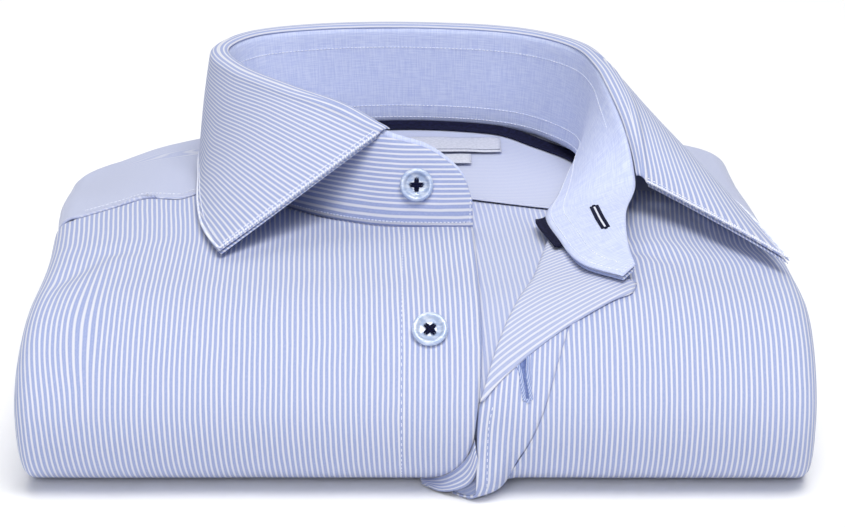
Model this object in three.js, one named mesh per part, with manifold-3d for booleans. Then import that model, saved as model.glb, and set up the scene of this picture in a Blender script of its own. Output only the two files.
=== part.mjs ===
// A striped dress shirt, folded to lie flat on a shelf, with its collar open.
// Units are millimetres. X runs across the folded shirt, Y from the front fold
// to the shoulders, and Z up from the surface that it rests on.

import * as THREE from 'three';
import Module from 'manifold-3d';
import { mergeVertices } from 'three/addons/utils/BufferGeometryUtils.js';

const wasm = await Module();
wasm.setup();

// ---------------------------------------------------------------- sizes

const CLOTH = 1.0; // thickness of one piece of cloth
const GAP = 0.3; // clearance between pieces at a seam
const LAYER = CLOTH + GAP; // step from one layer to the next

const MID_HEIGHT = 29; // level at which the upper and lower halves meet
const CROWN = 30; // rise of the upper half above that level
const FRONT_TOP_REACH = 44; // depth of the upper part of the front fold
const FRONT_LOW_REACH = 29; // depth of the lower part of the front fold
const REAR_LOW_START = 206; // where the lower half starts to turn up at the rear
const REAR_LOW_RADIUS = 12; // radius of that turn
const REAR_TOP_REACH = 10; // depth of the shoulder fold
const HALVES_MEET = 27; // height at which the upper half's underside lies
const SHOULDER_DROP = 14.5; // how far the shoulder points lie below the neck
const CORNER_DROP = 3; // how much more the left shoulder falls at its corner
const FRONT_SLOPE = 2.5; // fall of the top towards its sides, near the front
const SIDE_ROLL = 7; // radius of the folded sides
const SIDE_TURN = 7; // width of cloth turned down below that radius

const CF_RIGHT = 20.4; // centre front edge of the button side

const BUTTON_DIAMETER = 11.4;
const BUTTON_THICKNESS = 2.2;
const BUTTON_DISH_DIAMETER = 7.2;
const BUTTON_DISH_DEPTH = 0.7;
const BUTTON_HOLE_DIAMETER = 1.3;
const BUTTON_HOLE_PITCH = 2.3;

// the middle of the whole model's box, which becomes the origin
const CENTRE_X = -0.3;
const CENTRE_Y = 116.9;

// half widths of the folded body and the line of its rear shoulder fold
const outline = [
  { y: 0, left: 124, right: 126 },
  { y: 40, left: 122.5, right: 126.5 },
  { y: 72, left: 121.2, right: 124.5 },
  { y: 110, left: 122.8, right: 121 },
  { y: 140, left: 125, right: 119.5 },
  { y: 180, left: 127, right: 118 },
  { y: 235, left: 127, right: 117 },
];

const shoulderFold = [
  { x: -127, y: 205 },
  { x: -112, y: 213 },
  { x: -80, y: 223 },
  { x: -40, y: 228 },
  { x: 40, y: 228 },
  { x: 80, y: 226 },
  { x: 117, y: 221 },
];

// the seam between the yoke and the fronts, and the front of the neck
const yokeSeam = [
  { x: -125, y: 104 },
  { x: -115, y: 112 },
  { x: -101, y: 124 },
  { x: -93, y: 131 },
  { x: -82, y: 128 },
  { x: -74, y: 136 },
  { x: -62, y: 139 },
  { x: -50, y: 124.5 },
  { x: -42, y: 114.5 },
  { x: -24, y: 102 },
  { x: -8, y: 96.5 },
  { x: 21, y: 96.5 },
  { x: 68, y: 116 },
  { x: 125, y: 105 },
];
const seamStations = [-62, -74, -82, -93, -101, -115]; // where both pieces have a point

// right edge of the button side
const rightFrontEdge = [
  { along: -55, x: 20.2 },
  { along: 0, x: 21.3 },
  { along: 32, x: 21.7 },
  { along: 50, x: 20.6 },
  { along: 66, x: 19 },
  { along: 76, x: 16 },
  { along: 92, x: 8.5 },
  { along: 110, x: 6 },
  { along: 330, x: 6 },
];

// the line where the left front laps over the buttonhole band
const lapLine = [
  { along: -75, x: 72 },
  { along: 0, x: 60 },
  { along: 18.5, x: 52.3 },
  { along: 37, x: 46.7 },
  { along: 58, x: 41.4 },
  { along: 80, x: 33 },
  { along: 92, x: 31 },
  { along: 140, x: 27 },
  { along: 330, x: 27 },
];

// the free edge of the buttonhole band, and its fold under the turned-back corner
const bandEdge = [
  { along: -40, x: 46.5 },
  { along: 0, x: 38.8 },
  { along: 26, x: 29 },
  { along: 46, x: 23 },
  { along: 54, x: 20.6 },
  { along: 69, x: 20 },
  { along: 81, x: 20 },
  { along: 88, x: 18 },
  { along: 100, x: 12.5 },
  { along: 140, x: -9 },
  { along: 330, x: -9 },
];
const BAND_TOP = -38; // where the band's flat part starts under the collar
// how squarely the band turns under at the foot of the fold: 1 is round, 0 square
const bandFoot = [
  { x: 12, power: 0.24 },
  { x: 18, power: 0.26 },
  { x: 24.3, power: 0.4 },
  { x: 27.4, power: 0.56 },
  { x: 30.5, power: 0.88 },
  { x: 33, power: 1 },
];
const TWIST_TOP = 69;
const TWIST_FOOT = 86;
const TWIST_INSET = 0.6;

// the turned-back corner: its fold, its free edge, and how far it stands up
const turnBackRows = [
  { rollAlong: 51, roll: 20.9, edgeAlong: 50.2, edge: 22.4, puff: 0 },
  { rollAlong: 46, roll: 22.2, edgeAlong: 44.5, edge: 26.5, puff: 0.2 },
  { rollAlong: 36, roll: 24.8, edgeAlong: 35.4, edge: 35.2, puff: 0.6 },
  { rollAlong: 26, roll: 28, edgeAlong: 26.5, edge: 45.4, puff: 0.8 },
  { rollAlong: 13, roll: 33, edgeAlong: 18, edge: 56.5, puff: 0.8 },
  { rollAlong: 0, roll: 38.2, edgeAlong: 12, edge: 64.5, puff: 0.6 },
  { rollAlong: -17, roll: 41.5, edgeAlong: 8.5, edge: 69.8, puff: 0.3 },
  { rollAlong: -36, roll: 45, edgeAlong: 3, edge: 71.6, puff: 0 },
];

// stations round the collar, from the button end to the buttonhole end:
// the seam of the stand, its top edge on the inside, and the free edge of the leaf
const collar = [
  { name: 'button end', baseX: 20.2, baseY: 99.6, baseZ: 60.6, topX: 19.9, topY: 102, topZ: 67.2,
    edgeX: -58, edgeY: 55, edgeZ: 63, roll: 2, bow: 0 },
  { name: 'end curve', baseX: 15, baseY: 99.3, baseZ: 60.6, topX: 16.6, topY: 105, topZ: 76,
    edgeX: -59, edgeY: 57, edgeZ: 63, roll: 2, bow: 0 },
  { name: 'button', baseX: 5, baseY: 99.1, baseZ: 60.6, topX: 6, topY: 108.2, topZ: 84.4,
    edgeX: -60, edgeY: 60, edgeZ: 63, roll: 2, bow: 0 },
  { name: 'point right', baseX: -8.2, baseY: 100.4, baseZ: 60.6, topX: -7.6, topY: 110.4, topZ: 88.6,
    edgeX: -63, edgeY: 63, edgeZ: 63, roll: 5, bow: 0 },
  { name: 'front right', baseX: -23.2, baseY: 105.8, baseZ: 60.6, topX: -22.4, topY: 120, topZ: 93.8,
    edgeX: -70.5, edgeY: 86, edgeZ: 62.8, roll: 6, bow: 1 },
  { name: 'right', baseX: -41, baseY: 118.5, baseZ: 60.6, topX: -40.5, topY: 134.5, topZ: 95.8,
    edgeX: -74, edgeY: 112, edgeZ: 62.5, roll: 7, bow: 1 },
  { name: 'side right', baseX: -58, baseY: 139, baseZ: 60.6, topX: -60, topY: 160.5, topZ: 96,
    edgeX: -76, edgeY: 146, edgeZ: 60.5, roll: 7, bow: 0.5 },
  { name: 'shoulder right', baseX: -63.5, baseY: 168, baseZ: 60.6, topX: -66.5, topY: 183, topZ: 96,
    edgeX: -78, edgeY: 184, edgeZ: 58.3, roll: 7, bow: 0.5 },
  { name: 'rear right', baseX: -54, baseY: 195, baseZ: 60.6, topX: -57.5, topY: 200, topZ: 96,
    edgeX: -72, edgeY: 217, edgeZ: 56.5, roll: 8, bow: 1 },
  { name: 'back right', baseX: -32, baseY: 210, baseZ: 60.6, topX: -34, topY: 209, topZ: 96,
    edgeX: -40, edgeY: 231, edgeZ: 53, roll: 9, bow: 1 },
  { name: 'centre back', baseX: 3, baseY: 214.5, baseZ: 60.6, topX: 2, topY: 211, topZ: 96,
    edgeX: 3, edgeY: 234, edgeZ: 53, roll: 9, bow: 1 },
  { name: 'back left', baseX: 36, baseY: 206, baseZ: 60.6, topX: 38, topY: 203, topZ: 96,
    edgeX: 46, edgeY: 230.5, edgeZ: 54, roll: 9, bow: 1 },
  { name: 'rear left', baseX: 52, baseY: 189, baseZ: 60.6, topX: 57, topY: 185, topZ: 96,
    edgeX: 77.5, edgeY: 216, edgeZ: 57.5, roll: 9, bow: 1 },
  { name: 'shoulder left', baseX: 59, baseY: 171, baseZ: 61, topX: 64, topY: 163, topZ: 95.5,
    edgeX: 90, edgeY: 184, edgeZ: 58, roll: 8, bow: 2 },
  { name: 'side left', baseX: 54.5, baseY: 147, baseZ: 61.5, topX: 68, topY: 143, topZ: 92,
    edgeX: 101, edgeY: 148, edgeZ: 61, roll: 8, bow: 3 },
  { name: 'front left', baseX: 49.6, baseY: 120, baseZ: 62.5, topX: 72.5, topY: 126, topZ: 84,
    edgeX: 113, edgeY: 103, edgeZ: 63, roll: 7, bow: 4 },
  { name: 'point left', baseX: 45.2, baseY: 97, baseZ: 63.6, topX: 75.5, topY: 108, topZ: 72.5,
    edgeX: 122, edgeY: 54.5, edgeZ: 63, roll: 6, bow: 3 },
  { name: 'buttonhole', baseX: 48, baseY: 75, baseZ: 63.8, topX: 70.5, topY: 80, topZ: 70.5,
    edgeX: 123, edgeY: 50, edgeZ: 63, roll: 3, bow: 1 },
  { name: 'end curve left', baseX: 55, baseY: 49, baseZ: 63.8, topX: 70, topY: 58, topZ: 67,
    edgeX: 125, edgeY: 50, edgeZ: 64, roll: 2, bow: 0 },
  { name: 'buttonhole end', baseX: 67, baseY: 38.5, baseZ: 63.6, topX: 71.3, topY: 45, topZ: 65,
    edgeX: 126, edgeY: 45, edgeZ: 64, roll: 2, bow: 0 },
];
const LEAF_FIRST = 3; // the leaf starts at this station
const LEAF_LAST = 16; // and ends at this one
const STAND_STATIONS = 36;
const LEAF_STATIONS = 26;
const STAND_STEPS = 3;
const STAND_STEP = 1.5; // distance between the faces of the two stands
const STAND_TRIM = 0.06; // the outer stand ends this share lower
const ROLL_STEPS = 5;
const FALL_STEPS = 4;
const ROLL_RISE = 0.22; // height of the roll as a share of its width

// the hidden layers' folded sides: how far each lies out and in, from the skin inwards
const sideLayers = [
  { share: 0.03, out: 2.4 },
  { share: 0.12, out: 3.8 },
  { share: 0.46, out: 2.8 },
  { share: 0.52, out: 4.8 },
  { share: 0.62, out: 4.8 },
  { share: 0.67, out: 2.6 },
  { share: 0.72, out: 4.6 },
  { share: 0.84, out: 4.6 },
  { share: 0.93, out: 1.5 },
];
const CORE_INSET = 1.7; // depth of the hidden layers under the outer pieces
const CORE_CORNER = 14; // how far they stay in from the shoulder points
const INNER_DEPTH = 1.4; // depth of the pieces seen through the neck
const NECK_BACK_Y = 214.5;
const BACK_PANEL_END = 20; // length over the fold at which the back stops
const YOKE_NECK_FROM = 0.235; // the yoke meets the stand between these
const YOKE_NECK_TO = 0.79; // shares of the neck seam's length

const TAPE_WIDTH = 6.5;
const TAPE_CLEAR = 0.2; // its outer edge lies this far in from the seam
const TAPE_FROM = 0.12; // it runs between these shares of the neck seam's length
const TAPE_TO = 0.66;
const TAPE_END = { from: 15.95, to: 17.25, low: -0.13, high: -0.01 }; // stations, stand heights
const LABEL = { x: 4, y: 187, width: 56, depth: 17 };
const SIZE_LABEL = { x: 3.3, y: 170, width: 35, depth: 10 };

// foot of each button and how far its face leans back from upright, in degrees
const COLLAR_BUTTON = { x: 1.2, y: 100.9, z: 72.8, lean: 20 };
const FRONT_BUTTON = { x: 5.5, y: 15.9, z: 53.3, lean: 45 };

// ---------------------------------------------------------------- tools

const vec = (x, y, z) => new THREE.Vector3(x, y, z);

const range = (from, to, steps) =>
  Array.from({ length: steps + 1 }, (_, i) => from + ((to - from) * i) / steps);

function smooth(t) {
  const c = Math.min(Math.max(t, 0), 1);
  return c * c * (3 - 2 * c);
}

// value of a table's column at a key, straight between its rows
function lookUp(table, key, column, at) {
  let row = 0;
  while (row < table.length - 2 && table[row + 1][key] < at) row += 1;
  const a = table[row];
  const b = table[row + 1];
  const t = Math.min(Math.max((at - a[key]) / (b[key] - a[key]), 0), 1);
  return a[column] + (b[column] - a[column]) * t;
}

// point on a smooth curve through a list of points, t from 0 to 1
const through = (points) => new THREE.CatmullRomCurve3(points, false, 'centripetal');

// one closed body from its points and triangles
function body(points, triangles) {
  const geometry = new THREE.BufferGeometry();
  const flat = points.flatMap((p) => [p.x, p.y, p.z]);
  geometry.setAttribute('position', new THREE.Float32BufferAttribute(flat, 3));
  geometry.setIndex(triangles.flat());
  geometry.computeVertexNormals();
  return geometry;
}

// normals of a grid of points, pointing to the side that rows x columns gives
function gridNormals(grid) {
  const last = { i: grid.length - 1, j: grid[0].length - 1 };
  return grid.map((row, i) =>
    row.map((_, j) => {
      const down = grid[Math.min(i + 1, last.i)][j].clone().sub(grid[Math.max(i - 1, 0)][j]);
      const side = row[Math.min(j + 1, last.j)].clone().sub(row[Math.max(j - 1, 0)]);
      return down.cross(side).normalize();
    })
  );
}

// the grid moved out along its normals
function movedOut(grid, distance) {
  const normals = gridNormals(grid);
  return grid.map((row, i) =>
    row.map((p, j) => p.clone().addScaledVector(normals[i][j], distance))
  );
}

// a wall of cloth between a face grid and the same grid moved back
function wall(face, thickness = CLOTH) {
  const back = movedOut(face, -thickness);
  return wallBetween(face, back);
}

function wallBetween(face, back) {
  const rows = face.length;
  const columns = face[0].length;
  const points = [...face.flat(), ...back.flat()];
  const at = (i, j, side) => side * rows * columns + i * columns + j;
  const triangles = [];
  const quad = (a, b, c, d) => triangles.push([a, b, c], [a, c, d]);
  for (let i = 0; i < rows - 1; i += 1) {
    for (let j = 0; j < columns - 1; j += 1) {
      quad(at(i, j, 0), at(i + 1, j, 0), at(i + 1, j + 1, 0), at(i, j + 1, 0));
      quad(at(i, j, 1), at(i, j + 1, 1), at(i + 1, j + 1, 1), at(i + 1, j, 1));
    }
  }
  for (let i = 0; i < rows - 1; i += 1) {
    quad(at(i, 0, 0), at(i, 0, 1), at(i + 1, 0, 1), at(i + 1, 0, 0));
    const j = columns - 1;
    quad(at(i, j, 0), at(i + 1, j, 0), at(i + 1, j, 1), at(i, j, 1));
  }
  for (let j = 0; j < columns - 1; j += 1) {
    quad(at(0, j, 0), at(0, j + 1, 0), at(0, j + 1, 1), at(0, j, 1));
    const i = rows - 1;
    quad(at(i, j, 0), at(i, j, 1), at(i, j + 1, 1), at(i, j + 1, 0));
  }
  return body(points, triangles);
}

// ---------------------------------------------------------------- folded body

const halfWidth = (y, side) => lookUp(outline, 'y', side < 0 ? 'left' : 'right', y);

// height of the upper face: level at the front, falling to the shoulder points
function topHeight(x, y) {
  const side = Math.abs(x) / halfWidth(y, x);
  const share = Math.max(side - 0.25, 0) / 0.75;
  const rear = smooth((y - 100) / 110);
  const shoulder = SHOULDER_DROP * rear * share * (x > 0 ? 0.85 : 1);
  const slope = FRONT_SLOPE * smooth((side - 0.7) / 0.3) * (1 - rear);
  const corner = x < 0 ? CORNER_DROP * smooth((y - 130) / 60) * smooth((side - 0.72) / 0.25) : 0;
  return MID_HEIGHT + CROWN + smooth((y - 40) / 40) - shoulder - slope - corner;
}

// lengths of the profile's parts, from the yoke seam over the front fold
const TOP_ARC = (Math.PI / 2) * Math.sqrt((FRONT_TOP_REACH ** 2 + CROWN ** 2) / 2);
const LOW_ARC = (Math.PI / 2) * FRONT_LOW_REACH;
const UNDERSIDE = REAR_LOW_START - FRONT_LOW_REACH;
const REAR_ARC = Math.PI * 0.94 * REAR_LOW_RADIUS;
const UNDER_START = TOP_ARC + LOW_ARC;
const REAR_START = UNDER_START + UNDERSIDE;
const PROFILE_END = REAR_START + REAR_ARC;

// a point of the profile at a length along it: negative lengths are on the top
function profile(x, along) {
  if (along <= 0) {
    const y = FRONT_TOP_REACH - along;
    return { y, z: topHeight(x, y) };
  }
  if (along <= TOP_ARC) {
    const angle = (Math.PI / 2) * (along / TOP_ARC);
    const crown = topHeight(x, FRONT_TOP_REACH) - MID_HEIGHT;
    return {
      y: FRONT_TOP_REACH * (1 - Math.sin(angle)),
      z: MID_HEIGHT + crown * Math.cos(angle),
    };
  }
  if (along <= UNDER_START) {
    const angle = (Math.PI / 2) * ((along - TOP_ARC) / LOW_ARC);
    return {
      y: FRONT_LOW_REACH * (1 - Math.cos(angle)),
      z: MID_HEIGHT - MID_HEIGHT * Math.sin(angle),
    };
  }
  if (along <= REAR_START) return { y: FRONT_LOW_REACH + along - UNDER_START, z: 0 };
  const angle = (along - REAR_START) / REAR_LOW_RADIUS;
  return {
    y: REAR_LOW_START + REAR_LOW_RADIUS * Math.sin(angle),
    z: REAR_LOW_RADIUS * (1 - Math.cos(angle)),
  };
}

// a point of the body's skin, set in from it towards the middle of the fold
function skin(x, along, inset = 0) {
  const { y, z } = profile(x, along);
  const rear = along > REAR_START;
  const middle = vec(
    x,
    THREE.MathUtils.clamp(y, FRONT_LOW_REACH, REAR_LOW_START),
    rear ? REAR_LOW_RADIUS : MID_HEIGHT
  );
  const point = vec(x, y, z);
  const toMiddle = middle.sub(point).normalize();
  return point.addScaledVector(toMiddle, inset);
}

// the folded sides are sharper where the cloth lies flat underneath
const rollRadius = (along) => SIDE_ROLL - 4 * smooth((along - TOP_ARC) / LOW_ARC);

// the skin carried round a folded side: turn 0 to 1 is the roll, 1 to 2 the turned cloth
function sideSkin(side, along, turn) {
  const radius = rollRadius(along);
  const edge = halfWidth(profile(0, along).y, side) - radius;
  const angle = (Math.PI / 2) * Math.min(turn, 1);
  const turned = Math.max(turn - 1, 0);
  const x = side * (edge + radius * Math.sin(angle) - 1.5 * turned);
  const depth = radius * (1 - Math.cos(angle)) + SIDE_TURN * turned;
  return skin(x, along, depth);
}

const sideTurns = [0.33, 0.67, 1, 2];

const yToAlong = (y) => FRONT_TOP_REACH - y;

// lengths along the profile for a panel that starts at a depth y on the top
const foldLengths = [
  ...range(0, TOP_ARC, 5),
  ...range(TOP_ARC, UNDER_START, 6).slice(1),
  ...range(UNDER_START, UNDER_START + 36, 2).slice(1),
  REAR_START,
];
const panelLengths = (startY) => [
  ...range(yToAlong(startY), 0, 4).slice(0, -1),
  ...foldLengths,
  ...range(REAR_START, PROFILE_END, 4).slice(1),
];

const seamY = (x) => lookUp(yokeSeam, 'x', 'y', x);

// ---------------------------------------------------------------- fronts

// edge of the button side: it rolls away to the left at the foot of the fold
function rightEdge(along) {
  return lookUp(rightFrontEdge, 'along', 'x', along);
}

// the button side lies in from the rest below the fold, where the band covers it
const bandRecess = (x, along) =>
  LAYER * 1.5 * smooth((x + 26) / 12) * smooth((along - TOP_ARC) / LOW_ARC);

function frontRight() {
  const rows = panelLengths(seamY(0)).length;
  const grid = range(0, rows - 1, rows - 1).map((i) => {
    const turned = panelLengths(seamY(-118) - GAP)[i];
    const flat = [CF_RIGHT, -8, -24, -42, -50, ...seamStations].map((seamX) => {
      const lengths = panelLengths(seamY(seamX) - GAP);
      const outer = (along) => -(halfWidth(profile(0, along).y, -1) - rollRadius(along));
      const [start, guess] = [lengths[0], lengths[i]];
      const t = (seamX - rightEdge(start)) / (outer(start) - rightEdge(start));
      const x = THREE.MathUtils.lerp(rightEdge(guess), outer(guess), t);
      const along = panelLengths(seamY(x) - GAP)[i];
      return skin(x, along, bandRecess(x, along));
    });
    return [...flat, ...sideTurns.map((turn) => sideSkin(-1, turned, turn))].reverse();
  });
  return wall(grid);
}

function frontLeft() {
  const rows = panelLengths(seamY(0)).length;
  const grid = range(0, rows - 1, rows - 1).map((i) => {
    const turned = panelLengths(seamY(118) - GAP)[i];
    const flat = range(0, 1, 6).map((t) => {
      const guess = panelLengths(seamY(68 + 50 * t) - GAP)[i];
      const outer = halfWidth(profile(0, guess).y, 1) - rollRadius(guess);
      const x = THREE.MathUtils.lerp(lookUp(lapLine, 'along', 'x', guess), outer, t);
      return skin(x, panelLengths(seamY(x) - GAP)[i]);
    });
    return [...flat, ...sideTurns.map((turn) => sideSkin(1, turned, turn))];
  });
  return wall(grid);
}

// the buttonhole band bulges at the foot of the fold, where it is twisted
function bandSkin(x, along, inset = 0) {
  if (along <= TOP_ARC || along >= UNDER_START) return skin(x, along, inset);
  const angle = (Math.PI / 2) * ((along - TOP_ARC) / LOW_ARC);
  const square = 1 - lookUp(bandFoot, 'x', 'power', x);
  const power = 1 - square * smooth((along - TOP_ARC) / 14);
  const y = FRONT_LOW_REACH * (1 - Math.cos(angle) ** power);
  const z = MID_HEIGHT * (1 - Math.sin(angle) ** power);
  const point = vec(x, y, z);
  const toMiddle = vec(x, FRONT_LOW_REACH, MID_HEIGHT).sub(point).normalize();
  return point.addScaledVector(toMiddle, inset);
}

function placketBand() {
  const lengths = [BAND_TOP, BAND_TOP / 2, ...foldLengths];
  const grid = lengths.map((along) =>
    range(0, 1, 4).map((t) => {
      const from = lookUp(bandEdge, 'along', 'x', along);
      const to = lookUp(lapLine, 'along', 'x', along) - GAP;
      return bandSkin(THREE.MathUtils.lerp(from, to, t), along);
    })
  );
  return wall(grid);
}

// the little of the twisted band that shows behind the button side's rolled corner
function placketTwist() {
  const grid = range(TWIST_TOP, TWIST_FOOT, 5).map((along) =>
    range(0, 1, 3).map((t) => {
      const from = rightEdge(along) + GAP * 2;
      const to = lookUp(bandEdge, 'along', 'x', along) - GAP * 2;
      return bandSkin(THREE.MathUtils.lerp(from, to, t), along, TWIST_INSET);
    })
  );
  return wall(grid);
}

// the top of the band and the corner of its front, folded outwards wrong side up
function turnBack() {
  const grid = turnBackRows.map((row) =>
    range(0, 1, 5).map((t) => {
      const x = THREE.MathUtils.lerp(row.roll, row.edge, t);
      const along = THREE.MathUtils.lerp(row.rollAlong, row.edgeAlong, t);
      const crown = row.puff * Math.sin(Math.PI * Math.min(t * 1.25, 1));
      return skin(x, along, -(LAYER + crown));
    })
  );
  return wall(grid.reverse());
}

// ---------------------------------------------------------------- yoke and back

// boundary of the body's flat top behind the yoke seam, from left to right
function yokeBoundary() {
  const sideX = (y, side) => side * (halfWidth(y, side) - SIDE_ROLL);
  const cornerLeft = 192;
  const cornerRight = 203;
  const left = range(seamY(-118) + GAP, cornerLeft, 4).map((y) => ({
    x: sideX(y, -1), y, nx: -1, ny: 0,
  }));
  const right = range(cornerRight, seamY(117) + GAP, 4).map((y) => ({
    x: sideX(y, 1), y, nx: 1, ny: 0,
  }));
  const rear = range(-110, 104, 10).map((x) => ({
    x, y: lookUp(shoulderFold, 'x', 'y', x) - REAR_TOP_REACH, nx: 0, ny: 1,
  }));
  const corner = (a, b) => ({
    x: (a.x + b.x) / 2 + (a.nx + b.nx) * 1.5,
    y: (a.y + b.y) / 2 + (a.ny + b.ny) * 1.5,
    nx: (a.nx + b.nx) * Math.SQRT1_2,
    ny: (a.ny + b.ny) * Math.SQRT1_2,
  });
  return [
    ...left,
    corner(left.at(-1), rear[0]),
    ...rear,
    corner(rear.at(-1), right[0]),
    ...right,
  ];
}

const RIM_STEPS = 5;

// the yoke's top, then its folded edge
function yokeRow(edge, neck, seamWeight) {
  const width = seamStations.at(-1) - seamStations[0];
  const top = seamStations.map((seamX) => {
    const t = (seamX - seamStations[0]) / width;
    const between = THREE.MathUtils.lerp(neck.x, edge.x, t);
    const x = edge.x < 0 ? THREE.MathUtils.lerp(between, seamX, seamWeight) : between;
    const straight = THREE.MathUtils.lerp(neck.y, edge.y, t);
    const y = THREE.MathUtils.lerp(straight, seamY(x) + GAP, seamWeight);
    return vec(x, y, topHeight(x, y));
  });
  const start = top.at(-1);
  const rear = edge.ny;
  const reach = THREE.MathUtils.lerp(SIDE_ROLL, REAR_TOP_REACH, rear);
  const half = (start.z - HALVES_MEET) / 2;
  const drop = THREE.MathUtils.lerp(SIDE_ROLL, half, rear);
  const rim = range(0, 1, RIM_STEPS).slice(1).map((t) => {
    const angle = (Math.PI / 2) * (t * (1 + 0.55 * rear));
    const out = reach * Math.sin(angle);
    const flange = SIDE_TURN * (1 - rear) * Math.max(t - 0.8, 0);
    return vec(
      start.x + edge.nx * out,
      start.y + edge.ny * out,
      start.z - drop * (1 - Math.cos(angle)) - flange
    );
  });
  return [...top, ...rim];
}

function yokeOuter() {
  const boundary = yokeBoundary();
  const last = boundary.length - 1;
  const grid = boundary.map((edge, i) => {
    const t = i / last;
    const neck = neckSeam.getPointAt(THREE.MathUtils.lerp(YOKE_NECK_FROM, YOKE_NECK_TO, t));
    const outward = vec(edge.x - neck.x, edge.y - neck.y, 0).normalize();
    neck.addScaledVector(outward, 2 * LAYER);
    const ends = Math.max(1 - t * 14, 1 - (1 - t) * 14, 0);
    return yokeRow(edge, neck, ends);
  });
  return wall(grid);
}

// a panel just under the outer pieces, seen through the open neck
function innerPanel(rear, front, fromX, toX, rows, columns) {
  const grid = range(0, 1, rows).map((v) =>
    range(fromX, toX, columns).map((x) =>
      skin(x, THREE.MathUtils.lerp(rear(x), front(x), v), INNER_DEPTH)
    )
  );
  return wall(grid);
}

const innerSeamY = (x) => 127 - 0.42 * (x - 21) + 0.0022 * (x - 21) ** 2;

const innerYokeRear = (x) => yToAlong(NECK_BACK_Y + 2 - 0.006 * x * x);

const yokeInner = () =>
  innerPanel(innerYokeRear, (x) => yToAlong(innerSeamY(x) + GAP), -62, 66, 7, 10);

const backPanel = () =>
  innerPanel((x) => yToAlong(innerSeamY(x)), () => BACK_PANEL_END, 8, 68, 14, 8);

// ---------------------------------------------------------------- hidden layers

// the section of the hidden layers at x, all round: top, fold, underside, rear
function coreSection(x, share) {
  const rearY = lookUp(shoulderFold, 'x', 'y', x);
  const cut = CORE_CORNER * smooth((Math.abs(x) - 95) / 30);
  const rearStart = rearY - REAR_TOP_REACH - cut;
  const cover = (along) => {
    const y = profile(x, along).y;
    const inner = along < 20 ? smooth((92 - Math.abs(x)) / 8) * smooth((y - 8) / 10) : 0;
    const band = along > TOP_ARC ? smooth((x + 34) / 8) * smooth((50 - x) / 8) : 0;
    return CORE_INSET + LAYER * 1.6 * Math.max(inner, band);
  };
  const onSkin = [
    ...range(yToAlong(rearStart - 4), 0, 5).slice(0, -1),
    ...foldLengths.slice(0, -1),
    REAR_START - cut - 4,
  ].map((along) => skin(x, along, cover(along)));
  const lower = rearLayer(REAR_LOW_START - cut, 0, HALVES_MEET - 3, REAR_LOW_RADIUS);
  const sleeve = rearLayer(REAR_LOW_START - cut, HALVES_MEET - 3, HALVES_MEET + 3, 8);
  const upper = rearLayer(rearStart, HALVES_MEET + 3, topHeight(x, rearStart), REAR_TOP_REACH);
  const rear = [...lower, ...sleeve, ...upper].map(({ y, z }) => vec(x, y, z));
  return [...onSkin, ...rear].map((p) => {
    const middle = vec(x, THREE.MathUtils.clamp(p.y, 34, 190), MID_HEIGHT);
    return p.lerp(middle, share);
  });
}

// one rounded layer of the rear edge, between two heights
function rearLayer(startY, low, high, reach) {
  const lowest = low === 0 ? CORE_INSET + 2 * LAYER : low + 0.6;
  const highest = low === 0 || high > 35 ? high - CORE_INSET - LAYER : high - 0.6;
  return range(-1, 1, 4).map((t) => {
    const angle = (Math.PI / 2) * t;
    return {
      y: startY - 2 + (reach - CORE_INSET - 1) * Math.cos(angle),
      z: (lowest + highest) / 2 + ((highest - lowest) / 2) * Math.sin(angle),
    };
  });
}

function foldedLayers() {
  const inner = range(-1, 1, 10).map((t) => ({ t, out: 0, share: 0 }));
  const sides = sideLayers.map((row) => ({ t: 1, out: row.out, share: row.share }));
  const stations = [...sides.map((row) => ({ ...row, t: -1 })).reverse(), ...inner, ...sides];
  const rings = stations.map(({ t, out, share }) => {
    const section = coreSection(t * 100, share);
    return section.map((_, k) => {
      const y = section[k].y;
      const side = t < 0 ? -1 : 1;
      const x = t * (halfWidth(y, side) - SIDE_ROLL) + side * out;
      const moved = coreSection(x, share)[k];
      return vec(x, moved.y, moved.z);
    });
  });
  return closedLoft(rings);
}

// a body from rings of points, closed by a fan at each end
function closedLoft(rings) {
  const count = rings[0].length;
  const centre = (ring) =>
    ring.reduce((sum, p) => sum.add(p), vec(0, 0, 0)).multiplyScalar(1 / ring.length);
  const points = [...rings.flat(), centre(rings[0]), centre(rings.at(-1))];
  const first = rings.length * count;
  const triangles = [];
  for (let r = 0; r < rings.length - 1; r += 1) {
    for (let k = 0; k < count; k += 1) {
      const next = (k + 1) % count;
      const a = r * count + k;
      const b = r * count + next;
      triangles.push([a, b, b + count], [a, b + count, a + count]);
    }
  }
  for (let k = 0; k < count; k += 1) {
    const next = (k + 1) % count;
    const end = (rings.length - 1) * count;
    triangles.push([first, next, k], [first + 1, end + k, end + next]);
  }
  return body(points, triangles);
}

// ---------------------------------------------------------------- collar

const columnCurve = (table, prefix) =>
  through(table.map((row) => vec(row[`${prefix}X`], row[`${prefix}Y`], row[`${prefix}Z`])));

// face of the stand from its seam up to a share of its height, a row for each station
function standFace(rows, low = 0, high = 1) {
  return rows.map((row) =>
    range(low, high, STAND_STEPS).map((t) => {
      const base = vec(row.baseX, row.baseY, row.baseZ);
      const top = vec(row.topX, row.topY, row.topZ);
      return base.lerp(top, t);
    })
  );
}

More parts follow.
